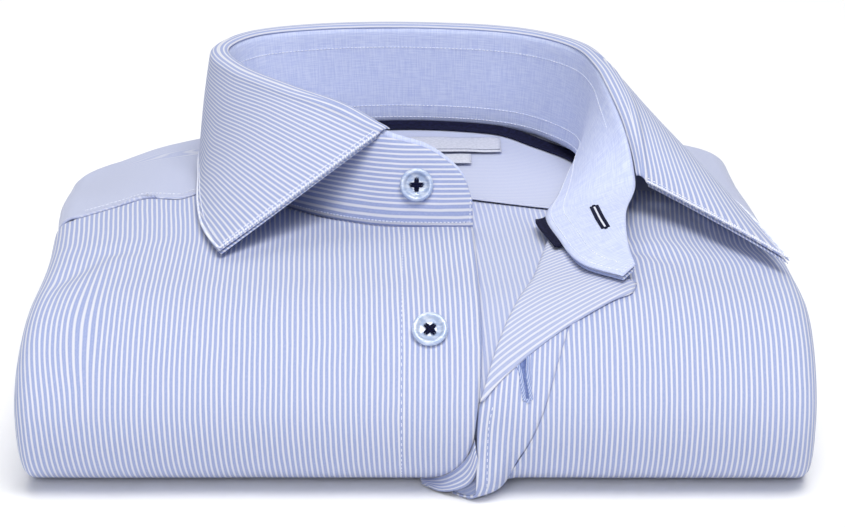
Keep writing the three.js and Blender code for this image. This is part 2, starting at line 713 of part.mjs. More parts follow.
// face of the leaf from inside the roll, over it, and down to its edge
function leafFace(rows) {
  return rows.map((row) => {
    const top = vec(row.topX, row.topY, row.topZ + 4 * GAP);
    const edge = vec(row.edgeX, row.edgeY, row.edgeZ);
    const outward = vec(edge.x - top.x, edge.y - top.y, 0).normalize();
    const shoulder = top.clone().addScaledVector(outward, row.roll);
    shoulder.z -= row.roll * 0.15;
    const over = range(0, 1, ROLL_STEPS).map((t) => {
      const angle = Math.PI * t;
      const p = top.clone().lerp(shoulder, (1 - Math.cos(angle)) / 2);
      p.z += row.roll * ROLL_RISE * Math.sin(angle);
      return p;
    });
    const fall = range(0, 1, FALL_STEPS).slice(1).map((t) => {
      const p = shoulder.clone().lerp(edge, t);
      return p.addScaledVector(outward, row.bow * Math.sin(Math.PI * t));
    });
    return [...over, ...fall];
  });
}

// stations between the table's rows, on smooth curves
function collarRows(from, to, steps) {
  const keys = ['base', 'top', 'edge'].map((prefix) => [prefix, columnCurve(collar, prefix)]);
  const rows = collar.length - 1;
  return range(from, to, steps).map((at) => {
    const row = {};
    for (const [prefix, curve] of keys) {
      const p = curve.getPoint(at / rows);
      row[`${prefix}X`] = p.x;
      row[`${prefix}Y`] = p.y;
      row[`${prefix}Z`] = p.z;
    }
    const low = Math.min(Math.floor(at), rows - 1);
    for (const key of ['roll', 'bow']) {
      row[key] = THREE.MathUtils.lerp(collar[low][key], collar[low + 1][key], at - low);
    }
    return row;
  });
}

const standRows = () => collarRows(0, collar.length - 1, STAND_STATIONS);
const leafRows = () => collarRows(LEAF_FIRST, LEAF_LAST, LEAF_STATIONS);

// the inner stand faces the neck, and the outer stand lies behind it
const standInner = () => wall(standFace(standRows()));

function standOuter() {
  const face = movedOut(standFace(standRows(), 0, 1 - STAND_TRIM), -STAND_STEP);
  return wall(face);
}

const leafUpper = () => wall(leafFace(leafRows()));

function leafUnder() {
  const face = leafFace(leafRows()).map((row) => row.slice(ROLL_STEPS));
  return wallBetween(movedOut(face, -LAYER), movedOut(face, -LAYER - CLOTH));
}

// ---------------------------------------------------------------- trimmings

// flat tape along the neck seam, on the inner yoke
function neckTape() {
  const grid = range(TAPE_FROM, TAPE_TO, 24).map((t) => {
    const seam = neckSeam.getPointAt(t);
    const tangent = neckSeam.getTangentAt(t);
    const inward = vec(tangent.y, -tangent.x, 0).normalize();
    return range(TAPE_WIDTH, TAPE_CLEAR, 2).map((reach) => {
      const p = seam.clone().addScaledVector(inward, reach);
      p.z = topHeight(p.x, p.y) - INNER_DEPTH + LAYER;
      return p;
    });
  });
  return wall(grid);
}

// its end, which shows below the foot of the turned-back stand
const neckTapeEnd = () =>
  wall(standFace(collarRows(TAPE_END.from, TAPE_END.to, 8), TAPE_END.low, TAPE_END.high));

// a flat label on the inner yoke
function label(size) {
  const grid = [1, 0, -1].map((v) =>
    [-1, 0, 1].map((u) => {
      const x = size.x + (u * size.width) / 2;
      const y = size.y + (v * size.depth) / 2;
      return skin(x, yToAlong(y), INNER_DEPTH - LAYER - GAP);
    })
  );
  return wall(grid);
}

// a four-hole button with a raised rim
function buttonShape() {
  const radius = BUTTON_DIAMETER / 2;
  const dish = BUTTON_DISH_DIAMETER / 2;
  const round = 0.5;
  const outlinePoints = [
    [0, 0],
    [radius - round, 0],
    [radius, round],
    [radius, BUTTON_THICKNESS - round],
    [radius - round, BUTTON_THICKNESS],
    [dish + 0.3, BUTTON_THICKNESS],
    [dish - 0.3, BUTTON_THICKNESS - BUTTON_DISH_DEPTH],
    [0, BUTTON_THICKNESS - BUTTON_DISH_DEPTH],
  ].map(([r, h]) => new THREE.Vector2(r, h));
  const turned = solid(new THREE.LatheGeometry(outlinePoints, 28).rotateX(Math.PI / 2));
  const pitch = BUTTON_HOLE_PITCH / 2;
  let button = turned;
  for (const [x, y] of [[1, 1], [1, -1], [-1, 1], [-1, -1]]) {
    const hole = new THREE.CylinderGeometry(
      BUTTON_HOLE_DIAMETER / 2, BUTTON_HOLE_DIAMETER / 2, BUTTON_THICKNESS * 3, 10
    );
    hole.rotateX(Math.PI / 2).translate(x * pitch, y * pitch, 0);
    button = button.subtract(solid(hole));
  }
  return fromSolid(button);
}

function solid(geometry) {
  const bare = geometry.clone();
  bare.deleteAttribute('normal');
  bare.deleteAttribute('uv');
  const merged = mergeVertices(bare, 1e-4);
  return new wasm.Manifold(new wasm.Mesh({
    numProp: 3,
    vertProperties: Float32Array.from(merged.attributes.position.array),
    triVerts: Uint32Array.from(merged.index.array),
  }));
}

function fromSolid(manifold) {
  const mesh = manifold.getMesh();
  const geometry = new THREE.BufferGeometry();
  geometry.setAttribute('position', new THREE.BufferAttribute(mesh.vertProperties, 3));
  geometry.setIndex(new THREE.BufferAttribute(mesh.triVerts, 1));
  geometry.computeVertexNormals();
  return geometry;
}

// ---------------------------------------------------------------- model

const shirt = new THREE.Group();

const finishes = {
  stripe: { color: 0xb9c7ee, roughness: 0.75, metalness: 0 },
  chambray: { color: 0xb4c4f4, roughness: 0.8, metalness: 0 },
  plain: { color: 0xccd5f0, roughness: 0.75, metalness: 0 },
  navy: { color: 0x14142c, roughness: 0.85, metalness: 0 },
  label: { color: 0xe6e9f4, roughness: 0.6, metalness: 0 },
  pearl: { color: 0xa9bfe8, roughness: 0.25, metalness: 0 },
};

function add(name, finish, geometry) {
  const mesh = new THREE.Mesh(geometry, new THREE.MeshStandardMaterial(finishes[finish]));
  mesh.name = name;
  shirt.add(mesh);
}

function addButton(name, place) {
  add(name, 'pearl', buttonShape());
  const button = shirt.children.at(-1);
  button.rotation.x = THREE.MathUtils.degToRad(90 - place.lean);
  button.position.set(place.x, place.y, place.z);
}

const neckSeam = columnCurve(collar, 'base');

add('folded_layers', 'stripe', foldedLayers());
add('front_right', 'stripe', frontRight());
add('front_left', 'stripe', frontLeft());
add('placket_band', 'stripe', placketBand());
add('placket_twist', 'stripe', placketTwist());
add('placket_turn_back', 'stripe', turnBack());
add('yoke_outer', 'plain', yokeOuter());
add('yoke_inner', 'plain', yokeInner());
add('back_panel', 'stripe', backPanel());
add('collar_stand_inner', 'chambray', standInner());
add('collar_stand_outer', 'stripe', standOuter());
add('collar_leaf', 'stripe', leafUpper());
add('collar_leaf_under', 'stripe', leafUnder());
add('neck_tape', 'navy', neckTape());
add('neck_tape_end', 'navy', neckTapeEnd());
add('neck_label', 'label', label(LABEL));
add('size_label', 'label', label(SIZE_LABEL));
addButton('button_collar', COLLAR_BUTTON);
addButton('button_front', FRONT_BUTTON);

shirt.position.set(-CENTRE_X, -CENTRE_Y, 0);
const part = new THREE.Group();
part.add(shirt);

export default part;
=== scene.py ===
"""A striped dress shirt, folded to lie flat, with its collar open.

Shapes are worked out in millimetres: X across the fold, Y from the front fold to the
shoulders, Z up. `place` turns them into metres in the frame's own axes.
"""

import math
import bpy
import numpy as np
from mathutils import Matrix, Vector


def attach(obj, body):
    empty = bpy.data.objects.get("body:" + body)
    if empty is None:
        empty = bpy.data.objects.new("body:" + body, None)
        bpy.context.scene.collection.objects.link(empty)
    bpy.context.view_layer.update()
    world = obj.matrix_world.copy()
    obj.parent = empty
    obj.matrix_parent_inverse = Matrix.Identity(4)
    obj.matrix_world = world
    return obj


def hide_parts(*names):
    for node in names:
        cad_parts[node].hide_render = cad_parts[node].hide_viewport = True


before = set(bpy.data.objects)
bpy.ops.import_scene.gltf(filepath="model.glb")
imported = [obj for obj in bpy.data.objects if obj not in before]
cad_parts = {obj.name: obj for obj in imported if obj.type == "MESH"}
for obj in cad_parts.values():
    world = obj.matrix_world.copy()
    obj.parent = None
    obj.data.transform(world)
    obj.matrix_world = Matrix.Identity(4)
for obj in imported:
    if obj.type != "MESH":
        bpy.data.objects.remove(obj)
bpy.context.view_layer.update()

# ------------------------------------------------------------------ sizes, in mm

CENTRE_X, CENTRE_Y = -0.3, 116.9  # the frame's origin, in the shirt's own axes
CLOTH = 1.0
GAP = 0.3
LAYER = CLOTH + GAP

MID_HEIGHT = 29
CROWN = 30
FRONT_TOP_REACH = 44
FRONT_LOW_REACH = 29
REAR_LOW_START = 206
REAR_LOW_RADIUS = 12
REAR_TOP_REACH = 10
HALVES_MEET = 27
SHOULDER_DROP = 14.5
CORNER_DROP = 3
FRONT_SLOPE = 2.5
SIDE_ROLL = 7
SIDE_TURN = 7

STRIPE = 1.655  # one blue and one white line
STEP = 1.7  # usual distance between the points of a sheet

OUTLINE = {
    "y": [0, 40, 72, 110, 140, 180, 235],
    "left": [124, 122.5, 121.2, 122.8, 125, 127, 127],
    "right": [126, 126.5, 124.5, 121, 119.5, 118, 117],
}
SHOULDER_FOLD = {
    "x": [-127, -112, -80, -40, 40, 80, 117],
    "y": [205, 213, 223, 228, 228, 226, 221],
}
YOKE_SEAM = {
    "x": [-125, -115, -101, -93, -82, -74, -62, -50, -42, -24, -8, 21, 68, 125],
    "y": [104, 112, 124, 131, 128, 136, 139, 124.5, 114.5, 102, 96.5, 96.5, 116, 105],
}
RIGHT_EDGE = {
    "along": [-55, 0, 32, 50, 66, 76, 92, 110, 330],
    "x": [20.2, 21.3, 21.7, 20.6, 19, 16, 8.5, 6, 6],
}
LAP_LINE = {
    "along": [-75, 0, 18.5, 37, 58, 80, 92, 140, 330],
    "x": [72, 60, 52.3, 46.7, 41.4, 33, 31, 27, 27],
}
BAND_EDGE = {
    "along": [-40, 0, 26, 46, 54, 69, 81, 88, 100, 140, 330],
    "x": [46.5, 38.8, 29, 23, 20.6, 20, 20, 18, 12.5, -9, -9],
}
# how squarely the band turns under at the foot of the fold: 1 is round, 0 square
BAND_FOOT = {"x": [12, 18, 24.3, 27.4, 30.5, 33], "power": [0.24, 0.26, 0.4, 0.56, 0.88, 1]}
TURN_BACK = {
    "roll_along": [51, 46, 36, 26, 13, 0, -17, -36],
    "roll_x": [20.9, 22.2, 24.8, 28, 33, 38.2, 41.5, 45],
    "edge_along": [50.2, 44.5, 35.4, 26.5, 18, 12, 8.5, 3],
    "edge_x": [22.4, 26.5, 35.2, 45.4, 56.5, 64.5, 69.8, 71.6],
    "puff": [0, 0.2, 0.6, 0.8, 0.8, 0.6, 0.3, 0],
}

# stations round the collar: the stand's seam, its top edge inside, the leaf's free edge
COLLAR = [
    # base x, y, z        top x, y, z        edge x, y, z   roll, bow
    (20.2, 99.6, 60.6, 19.9, 102, 67.2, -58, 55, 63, 2, 0),  # button end
    (15, 99.3, 60.6, 16.6, 105, 76, -59, 57, 63, 2, 0),
    (5, 99.1, 60.6, 6, 108.2, 84.4, -60, 60, 63, 2, 0),
    (-8.2, 100.4, 60.6, -7.6, 110.4, 88.6, -63, 63, 63, 5, 0),  # right point
    (-23.2, 105.8, 60.6, -22.4, 120, 93.8, -70.5, 86, 62.8, 6, 1),
    (-41, 118.5, 60.6, -40.5, 134.5, 95.8, -74, 112, 62.5, 7, 1),
    (-58, 139, 60.6, -60, 160.5, 96, -76, 146, 60.5, 7, 0.5),
    (-63.5, 168, 60.6, -66.5, 183, 96, -78, 184, 58.3, 7, 0.5),
    (-54, 195, 60.6, -57.5, 200, 96, -72, 217, 56.5, 8, 1),
    (-32, 210, 60.6, -34, 209, 96, -40, 231, 53, 9, 1),
    (3, 214.5, 60.6, 2, 211, 96, 3, 234, 53, 9, 1),  # centre back
    (36, 206, 60.6, 38, 203, 96, 46, 230.5, 54, 9, 1),
    (52, 189, 60.6, 57, 185, 96, 77.5, 216, 57.5, 9, 1),
    (59, 171, 61, 64, 163, 95.5, 90, 184, 58, 8, 2),
    (54.5, 147, 61.5, 68, 143, 92, 101, 148, 61, 8, 3),
    (49.6, 120, 62.5, 72.5, 126, 84, 113, 103, 63, 7, 4),
    (45.2, 97, 63.6, 75.5, 108, 72.5, 122, 54.5, 63, 6, 3),  # left point
    (48, 75, 63.8, 70.5, 80, 70.5, 123, 50, 63, 3, 1),
    (55, 49, 63.8, 70, 58, 67, 125, 50, 64, 2, 0),
    (67, 38.5, 63.6, 71.3, 45, 65, 126, 45, 64, 2, 0),  # buttonhole end
]
LEAF_FIRST, LEAF_LAST = 3, 16
STAND_STEP = 1.5
STAND_TRIM = 0.06
ROLL_RISE = 0.22
YOKE_NECK_FROM, YOKE_NECK_TO = 0.235, 0.79
NECK_BACK_Y = 214.5
INNER_DEPTH = 1.4
BACK_PANEL_END = 52
TAPE_WIDTH, TAPE_CLEAR = 6.5, 0.2
TAPE_FROM, TAPE_TO = 0.12, 0.66
TAPE_END = {"from": 15.95, "to": 17.25, "low": -0.13, "high": -0.01}

LABEL = {"x": 4, "y": 187, "width": 56, "depth": 17}
SIZE_LABEL = {"x": 3.3, "y": 170, "width": 35, "depth": 10}
COLLAR_BUTTON = {"at": (1.2, 100.9, 72.8), "lean": 20}
FRONT_BUTTON = {"at": (5.5, 15.9, 53.3), "lean": 45}

# ------------------------------------------------------------------ tools


def place(points):
    """Points of the shirt in mm, as metres in the frame's axes."""
    return (np.asarray(points, float) - (CENTRE_X, CENTRE_Y, 0)) * 0.001


def smooth(t):
    c = np.clip(t, 0, 1)
    return c * c * (3 - 2 * c)


def mix(a, b, t):
    return a + (b - a) * t


def slopes(keys, values):
    """Slopes of a smooth curve through a table that never overshoots its values."""
    steps = np.diff(values) / np.diff(keys)
    inner = np.where(
        steps[:-1] * steps[1:] > 0,
        2 * steps[:-1] * steps[1:] / np.where(steps[:-1] + steps[1:] == 0, 1, steps[:-1] + steps[1:]),
        0,
    )
    return np.concatenate([[steps[0]], inner, [steps[-1]]])


def look_up(table, key, column, at):
    """Value of a table's column at a key, on a smooth curve between its rows."""
    keys = np.asarray(table[key], float)
    values = np.asarray(table[column], float)
    at = np.clip(at, keys[0], keys[-1])
    i = np.clip(np.searchsorted(keys, at) - 1, 0, len(keys) - 2)
    span = keys[i + 1] - keys[i]
    t = (at - keys[i]) / span
    m = slopes(keys, values)
    a, b = values[i], values[i + 1]
    c, d = m[i] * span, m[i + 1] * span
    return a + c * t + (3 * (b - a) - 2 * c - d) * t**2 + (c + d - 2 * (b - a)) * t**3


def curve_at(points, at):
    """Point of a centripetal Catmull-Rom curve through a list of points; at counts points."""
    p = np.asarray(points, float)
    i = min(int(math.floor(at)), len(p) - 2)
    w = at - i
    p1, p2 = p[i], p[i + 1]
    p0 = p[i - 1] if i > 0 else 2 * p1 - p2
    p3 = p[i + 2] if i + 2 < len(p) else 2 * p2 - p1
    pairs = ((p0, p1), (p1, p2), (p2, p3))
    d0, d1, d2 = (max(np.linalg.norm(b - a) ** 0.5, 1e-4) for a, b in pairs)
    t1 = ((p1 - p0) / d0 - (p2 - p0) / (d0 + d1) + (p2 - p1) / d1) * d1
    t2 = ((p2 - p1) / d1 - (p3 - p1) / (d1 + d2) + (p3 - p2) / d2) * d1
    return p1 + t1 * w + (-3 * p1 + 3 * p2 - 2 * t1 - t2) * w**2 + (2 * p1 - 2 * p2 + t1 + t2) * w**3


def curve(points, count):
    """Points at even steps along the curve through a list of points."""
    return np.array([curve_at(points, at) for at in np.linspace(0, len(points) - 1, count)])


def lengths(line):
    """Length along a line of points up to each of them."""
    steps = np.linalg.norm(np.diff(line, axis=0), axis=1)
    return np.concatenate([[0], np.cumsum(steps)])


def resampled(line, at, run=None):
    """Points of a line of points, or other values at those points, at given lengths along it."""
    run = lengths(line) if run is None else run
    return np.stack([np.interp(at, run, line[:, k]) for k in range(line.shape[1])], axis=1)


def noise(x, y, size, seed):
    """Smooth unevenness from -1 to 1 over a plane, with features of about that size."""
    cells = np.random.default_rng(seed).uniform(-1, 1, (64, 64))
    u, v = np.asarray(x) / size + 31, np.asarray(y) / size + 31
    i, j = np.floor(u).astype(int), np.floor(v).astype(int)
    s, t = smooth(u - i), smooth(v - j)
    corner = lambda a, b: cells[(i + a) % 64, (j + b) % 64]
    return mix(mix(corner(0, 0), corner(1, 0), s), mix(corner(0, 1), corner(1, 1), s), t)


def near_line(x, y, line):
    """Distance from a line of points, and the share of its length at the nearest place."""
    run = lengths(np.asarray(line, float))
    best = np.full(np.shape(x), 1e9)
    share = np.zeros(np.shape(x))
    for k in range(len(line) - 1):
        a, b = np.asarray(line[k], float), np.asarray(line[k + 1], float)
        d = b - a
        t = np.clip(((x - a[0]) * d[0] + (y - a[1]) * d[1]) / (d @ d), 0, 1)
        far = np.hypot(x - a[0] - t * d[0], y - a[1] - t * d[1])
        share = np.where(far < best, (run[k] + t * np.linalg.norm(d)) / run[-1], share)
        best = np.minimum(best, far)
    return best, share


def unit(v):
    return v / np.maximum(np.linalg.norm(v, axis=-1, keepdims=True), 1e-9)


def normals_of(grid):
    """Normals of a grid of points, on the side that rows x columns gives."""
    return unit(np.cross(np.gradient(grid, axis=0), np.gradient(grid, axis=1)))


def paired(a, b):
    """Two values at each point as one array, such as its cloth coordinates."""
    return np.stack(np.broadcast_arrays(a, b), axis=-1)


# ------------------------------------------------------------------ folded body

TOP_ARC = (math.pi / 2) * math.sqrt((FRONT_TOP_REACH**2 + CROWN**2) / 2)
LOW_ARC = (math.pi / 2) * FRONT_LOW_REACH
UNDER_START = TOP_ARC + LOW_ARC
REAR_START = UNDER_START + REAR_LOW_START - FRONT_LOW_REACH
PROFILE_END = REAR_START + math.pi * 0.94 * REAR_LOW_RADIUS


def half_width(y, right):
    return look_up(OUTLINE, "y", "right" if right else "left", y)


def top_height(x, y):
    side = np.abs(x) / np.where(x > 0, half_width(y, True), half_width(y, False))
    share = np.maximum(side - 0.25, 0) / 0.75
    share = share**2 / (share + 0.08)
    rear = smooth((y - 100) / 110)
    shoulder = SHOULDER_DROP * rear * share * np.where(x > 0, 0.85, 1)
    slope = FRONT_SLOPE * smooth((side - 0.7) / 0.3) * (1 - rear)
    corner = CORNER_DROP * smooth((y - 130) / 60) * smooth((side - 0.72) / 0.25) * np.where(x > 0, 0, 1)
    return MID_HEIGHT + CROWN + smooth((y - 40) / 40) - shoulder - slope - corner


def profile(x, along):
    """Y and Z of the skin at a length over the front fold; negative lengths are on the top."""
    x, along = np.broadcast_arrays(np.asarray(x, float), np.asarray(along, float))
    y_top = FRONT_TOP_REACH - along
    a = (math.pi / 2) * np.clip(along / TOP_ARC, 0, 1)
    crown = top_height(x, np.full(x.shape, float(FRONT_TOP_REACH))) - MID_HEIGHT
    b = (math.pi / 2) * np.clip((along - TOP_ARC) / LOW_ARC, 0, 1)
    c = np.maximum(along - REAR_START, 0) / REAR_LOW_RADIUS
    cases = [along <= 0, along <= TOP_ARC, along <= UNDER_START, along <= REAR_START]
    y = np.select(
        cases,
        [
            y_top,
            FRONT_TOP_REACH * (1 - np.sin(a)),
            FRONT_LOW_REACH * (1 - np.cos(b)),
            FRONT_LOW_REACH + along - UNDER_START,
        ],
        REAR_LOW_START + REAR_LOW_RADIUS * np.sin(c),
    )
    z = np.select(
        cases,
        [
            top_height(x, y_top),
            MID_HEIGHT + crown * np.cos(a),
            MID_HEIGHT * (1 - np.sin(b)),
            np.zeros(x.shape),
        ],
        REAR_LOW_RADIUS * (1 - np.cos(c)),
    )
    return y, z


def skin(x, along, inset=0):
    """A point of the body's skin, set in towards the middle of the fold."""
    x, along = np.broadcast_arrays(np.asarray(x, float), np.asarray(along, float))
    y, z = profile(x, along)
    middle_y = np.clip(y, FRONT_LOW_REACH, REAR_LOW_START)
    middle_z = np.where(along > REAR_START, REAR_LOW_RADIUS, MID_HEIGHT)
    dy, dz = middle_y - y, middle_z - z
    reach = np.maximum(np.hypot(dy, dz), 1e-6)
    return np.stack([x, y + dy / reach * inset, z + dz / reach * inset], axis=-1)


def roll_radius(along):
    return SIDE_ROLL - 4 * smooth((along - TOP_ARC) / LOW_ARC)


def side_skin(right, along, turn):
    """The skin carried round a folded side: turn 0 to 1 is the roll, 1 to 2 the turned cloth."""
    radius = roll_radius(along)
    sign = 1 if right else -1
    edge = half_width(profile(0, along)[0], right) - radius
    angle = (math.pi / 2) * np.minimum(turn, 1)
    turned = np.maximum(turn - 1, 0)
    x = sign * (edge + radius * np.sin(angle) - 1.5 * turned)
    depth = radius * (1 - np.cos(angle)) + SIDE_TURN * turned
    return skin(x, along, depth)


# creases of the body: points of x and length over the fold, half width, height
CREASES = [
    ([(-100, -28), (-107, -17), (-115, -5), (-118, 8)], 4.5, -1.1),
    ([(-96, -24), (-101, -12), (-108, 2), (-110, 16)], 6.0, 1.0),
    ([(-108, -30), (-98, -28), (-88, -26)], 4.0, -0.8),
    ([(70, -28), (78, -27), (87, -16)], 4.0, -1.1),
    ([(76, -34), (86, -30), (96, -18)], 5.0, 0.6),
    ([(103, -46), (110, -38), (116, -30)], 6.0, -0.8),
    ([(-60, -10), (-50, 6), (-46, 26)], 9.0, -0.35),
    ([(88, 10), (92, 34), (90, 60)], 12.0, 0.35),
    ([(-96, 40), (-90, 62), (-92, 84)], 12.0, 0.35),
]


def relief(x, along):
    """How far the cloth stands out from the plain skin: creases and a soft unevenness."""
    out = 0.16 * noise(x, along, 34, 3) + 0.07 * noise(x, along, 13, 4)
    for line, width, height in CREASES:
        far, share = near_line(x, along, line)
        fade = np.sin(math.pi * np.clip(share, 0.06, 0.94)) ** 0.5
        out = out + height * np.exp(-((far / width) ** 2)) * fade
    return out * smooth((UNDER_START - 6 - along) / 16)


def stripe_shift(x, along):
    """Where a stripe lies apart from straight: how far it has moved to the left."""
    left = 3.2 * np.exp(-(((along - 22) / 22) ** 2)) * smooth((-x - 96) / 14)
    back = np.maximum(-along - 34, 0)
    outwards = 0.1 * (back**2 / (back + 12)) * smooth((-30 - x) / 40)
    middle = 0.03 * np.clip(30 - along, 0, 100) * smooth((x + 90) / 50) * smooth((60 - x) / 40)
    shoulder = 0.045 * smooth((-14 - along) / 30) * np.maximum(x - 20, 0)
    late = 0.06 * np.maximum(-along - 54, 0) * smooth((x - 50) / 30)
    under = 0.035 * np.clip(along - 58, 0, 50) * smooth((10 - x) / 30)
    return left + outwards + middle + shoulder - late - under + 0.1 * noise(x, along, 22, 5)


# ------------------------------------------------------------------ meshes

COLLECTION = bpy.context.scene.collection


def new_piece(name, points, faces, uv, material, replaces=(), slot="striped_cloth"):
    """A shown piece from points in mm, faces, and cloth coordinates in mm at each point."""
    mesh = bpy.data.meshes.new(name)
    mesh.from_pydata(place(points).tolist(), [], faces)
    layer = mesh.uv_layers.new(name="cloth")
    loops = np.zeros(len(mesh.loops), int)
    mesh.loops.foreach_get("vertex_index", loops)
    layer.data.foreach_set("uv", np.asarray(uv, float)[loops].ravel())
    mesh.polygons.foreach_set("use_smooth", [True] * len(mesh.polygons))
    mesh.materials.append(material)
    mesh.update()
    piece = bpy.data.objects.new(name, mesh)
    COLLECTION.objects.link(piece)
    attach(piece, "root")
    if replaces:
        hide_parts(*replaces)
    return piece


def grid_faces(rows, columns, start=0, flip=False):
    i, j = np.meshgrid(np.arange(rows - 1), np.arange(columns - 1), indexing="ij")
    a = start + (i * columns + j).ravel()
    quads = np.stack([a, a + columns, a + columns + 1, a + 1], axis=1)
    return quads[:, ::-1] if flip else quads


def tube_faces(rings, around, start=0, flip=False):
    """Faces between closed rings of points, one ring after the other."""
    r, k = np.meshgrid(np.arange(rings - 1), np.arange(around), indexing="ij")
    a, b = start + r * around + k, start + r * around + (k + 1) % around
    quads = np.stack([a, b, b + around, a + around], axis=-1).reshape(-1, 4)
    return (quads[:, ::-1] if flip else quads).tolist()


def edge_share(count):
    """Thickness share across a grid: thin at its first and last line, full inside."""
    share = np.ones(count)
    share[[0, -1]] = 0.3
    share[[1, -2]] = 0.85
    return share


def cloth(name, grid, uv, material, thickness=CLOTH, **kind):
    """A sheet of cloth whose outer face is a grid of points, with soft edges."""
    rows, columns = grid.shape[:2]
    thin = np.minimum(edge_share(rows)[:, None], edge_share(columns)[None, :])[..., None]
    n = normals_of(grid)
    middle = grid - n * (thickness / 2)
    face = middle + n * (thickness / 2) * thin
    back = middle - n * (thickness / 2) * thin
    points = np.concatenate([face.reshape(-1, 3), back.reshape(-1, 3)])
    both = np.concatenate([uv.reshape(-1, 2)] * 2)
    count = rows * columns
    faces = [grid_faces(rows, columns), grid_faces(rows, columns, count, flip=True)]
    rim = np.concatenate(
        [
            np.arange(columns),
            columns * np.arange(1, rows) + columns - 1,
            count - 1 - np.arange(1, columns),
            columns * np.arange(rows - 2, 0, -1),
        ]
    )
    following = np.roll(rim, -1)
    faces.append(np.stack([rim, following, following + count, rim + count], axis=1))
    return new_piece(name, points, np.concatenate(faces).tolist(), both, material, **kind)


def spaced(low, high, step=STEP):
    """Evenly spaced values, about a step apart."""
    return np.linspace(low, high, max(int(round(abs(high - low) / step)) + 1, 3))


# ------------------------------------------------------------------ materials


def srgb(r, g, b):
    """A colour given as it looks on a screen, from 0 to 255, as linear light."""
    c = np.array([r, g, b]) / 255
    linear = np.where(c <= 0.04045, c / 12.92, ((c + 0.055) / 1.055) ** 2.4)
    return (*linear.tolist(), 1.0)


class Nodes:
    """A material's node tree, with short calls for its common nodes."""

    def __init__(self, name, **settings):
        self.material = bpy.data.materials.new(name)
        self.material.use_nodes = True
        self.tree = self.material.node_tree
        self.shader = self.tree.nodes["Principled BSDF"]
        for socket, value in settings.items():
            self.shader.inputs[socket.replace("_", " ")].default_value = value

    def node(self, kind, **settings):
        made = self.tree.nodes.new(kind)
        for key, value in settings.items():
            setattr(made, key, value)
        return made

    def link(self, source, target):
        self.tree.links.new(source, target)

    def math(self, operation, a, b=0.0, c=0.0):
        made = self.node("ShaderNodeMath", operation=operation)
        for socket, value in zip(made.inputs, (a, b, c)):
            if isinstance(value, (int, float)):
                socket.default_value = value
            else:
                self.link(value, socket)
        return made.outputs[0]

    def uv(self):
        """The cloth coordinates, across and along the stripes, in mm."""
        source = self.node("ShaderNodeUVMap", uv_map="cloth")
        split = self.node("ShaderNodeSeparateXYZ")
        self.link(source.outputs["UV"], split.inputs[0])
        return split.outputs[0], split.outputs[1]

    def noise(self, x, y, per_x, per_y, detail=2.0):
        """Noise from 0 to 1 over the cloth, with so many features per mm each way."""
        join = self.node("ShaderNodeCombineXYZ")
        self.link(self.math("MULTIPLY", x, per_x), join.inputs[0])
        self.link(self.math("MULTIPLY", y, per_y), join.inputs[1])
        made = self.node("ShaderNodeTexNoise", noise_dimensions="2D")
        made.inputs["Scale"].default_value = 1.0
        made.inputs["Detail"].default_value = detail
        self.link(join.outputs[0], made.inputs["Vector"])
        return made.outputs["Fac"]

    def ramp(self, value, low, high, start=0.0, end=1.0):
        """The value carried smoothly from one range to another."""
        made = self.node("ShaderNodeMapRange", interpolation_type="SMOOTHSTEP")
        self.link(value, made.inputs["Value"])
        for name, number in (("From Min", low), ("From Max", high), ("To Min", start), ("To Max", end)):
            made.inputs[name].default_value = number
        return made.outputs["Result"]

    def mix(self, share, a, b):
        """A colour between two others, each a constant or a socket."""
        made = self.node("ShaderNodeMix", data_type="RGBA")
        for socket, value in ((made.inputs[0], share), (made.inputs[6], a), (made.inputs[7], b)):
            if isinstance(value, (int, float, tuple)):
                socket.default_value = value
            else:
                self.link(value, socket)
        return made.outputs[2]

    def bump(self, height, distance, strength=1.0):
        made = self.node("ShaderNodeBump")
        made.inputs["Strength"].default_value = strength
        made.inputs["Distance"].default_value = distance
        self.link(height, made.inputs["Height"])
        self.link(made.outputs["Normal"], self.shader.inputs["Normal"])

    def colour(self, value):
        self.link(value, self.shader.inputs["Base Color"])


def weave(nodes, u, v, pitch):
    """Height of a plain weave of that thread pitch."""
    across = nodes.math("SINE", nodes.math("MULTIPLY", u, 2 * math.pi / pitch))
    along = nodes.math("SINE", nodes.math("MULTIPLY", v, 2 * math.pi / pitch))
    return nodes.math("MULTIPLY", across, along)


BLUE = srgb(148, 162, 208)
BLUE_EDGE = srgb(139, 154, 203)
WHITE = srgb(217, 219, 230)


def striped(name, contrast=1.0, light=0.0):
    """Cotton with fine stripes: a white line on blue, its threads slightly uneven."""
    n = Nodes(name, Roughness=0.72, Sheen_Weight=0.15, Sheen_Roughness=0.5, Specular_IOR_Level=0.3)
    u, v = n.uv()
    wander = n.noise(u, v, 0.16, 0.06)
    moved = n.math("ADD", u, n.math("MULTIPLY", n.math("SUBTRACT", wander, 0.5), 0.35))
    phase = n.math("FRACT", n.math("DIVIDE", moved, STRIPE))
    centred = n.math("ABSOLUTE", n.math("SUBTRACT", phase, 0.5))
    white = n.ramp(centred, 0.1, 0.3, 1.0, 0.0)
    edge = n.ramp(centred, 0.28, 0.4, 1.0, 0.0)
    blue = n.mix(edge, BLUE, BLUE_EDGE)
    thread = n.noise(u, v, 5.0, 0.9, 3.0)
    blue = n.mix(n.ramp(thread, 0.3, 0.8, 0.05, 0.2), blue, WHITE)
    colour = n.mix(n.math("MULTIPLY", white, contrast), blue, WHITE)
    if light:
        colour = n.mix(light, colour, WHITE)
    n.colour(colour)
    n.bump(weave(n, u, v, 0.42), 0.00006, 0.35)
    return n.material


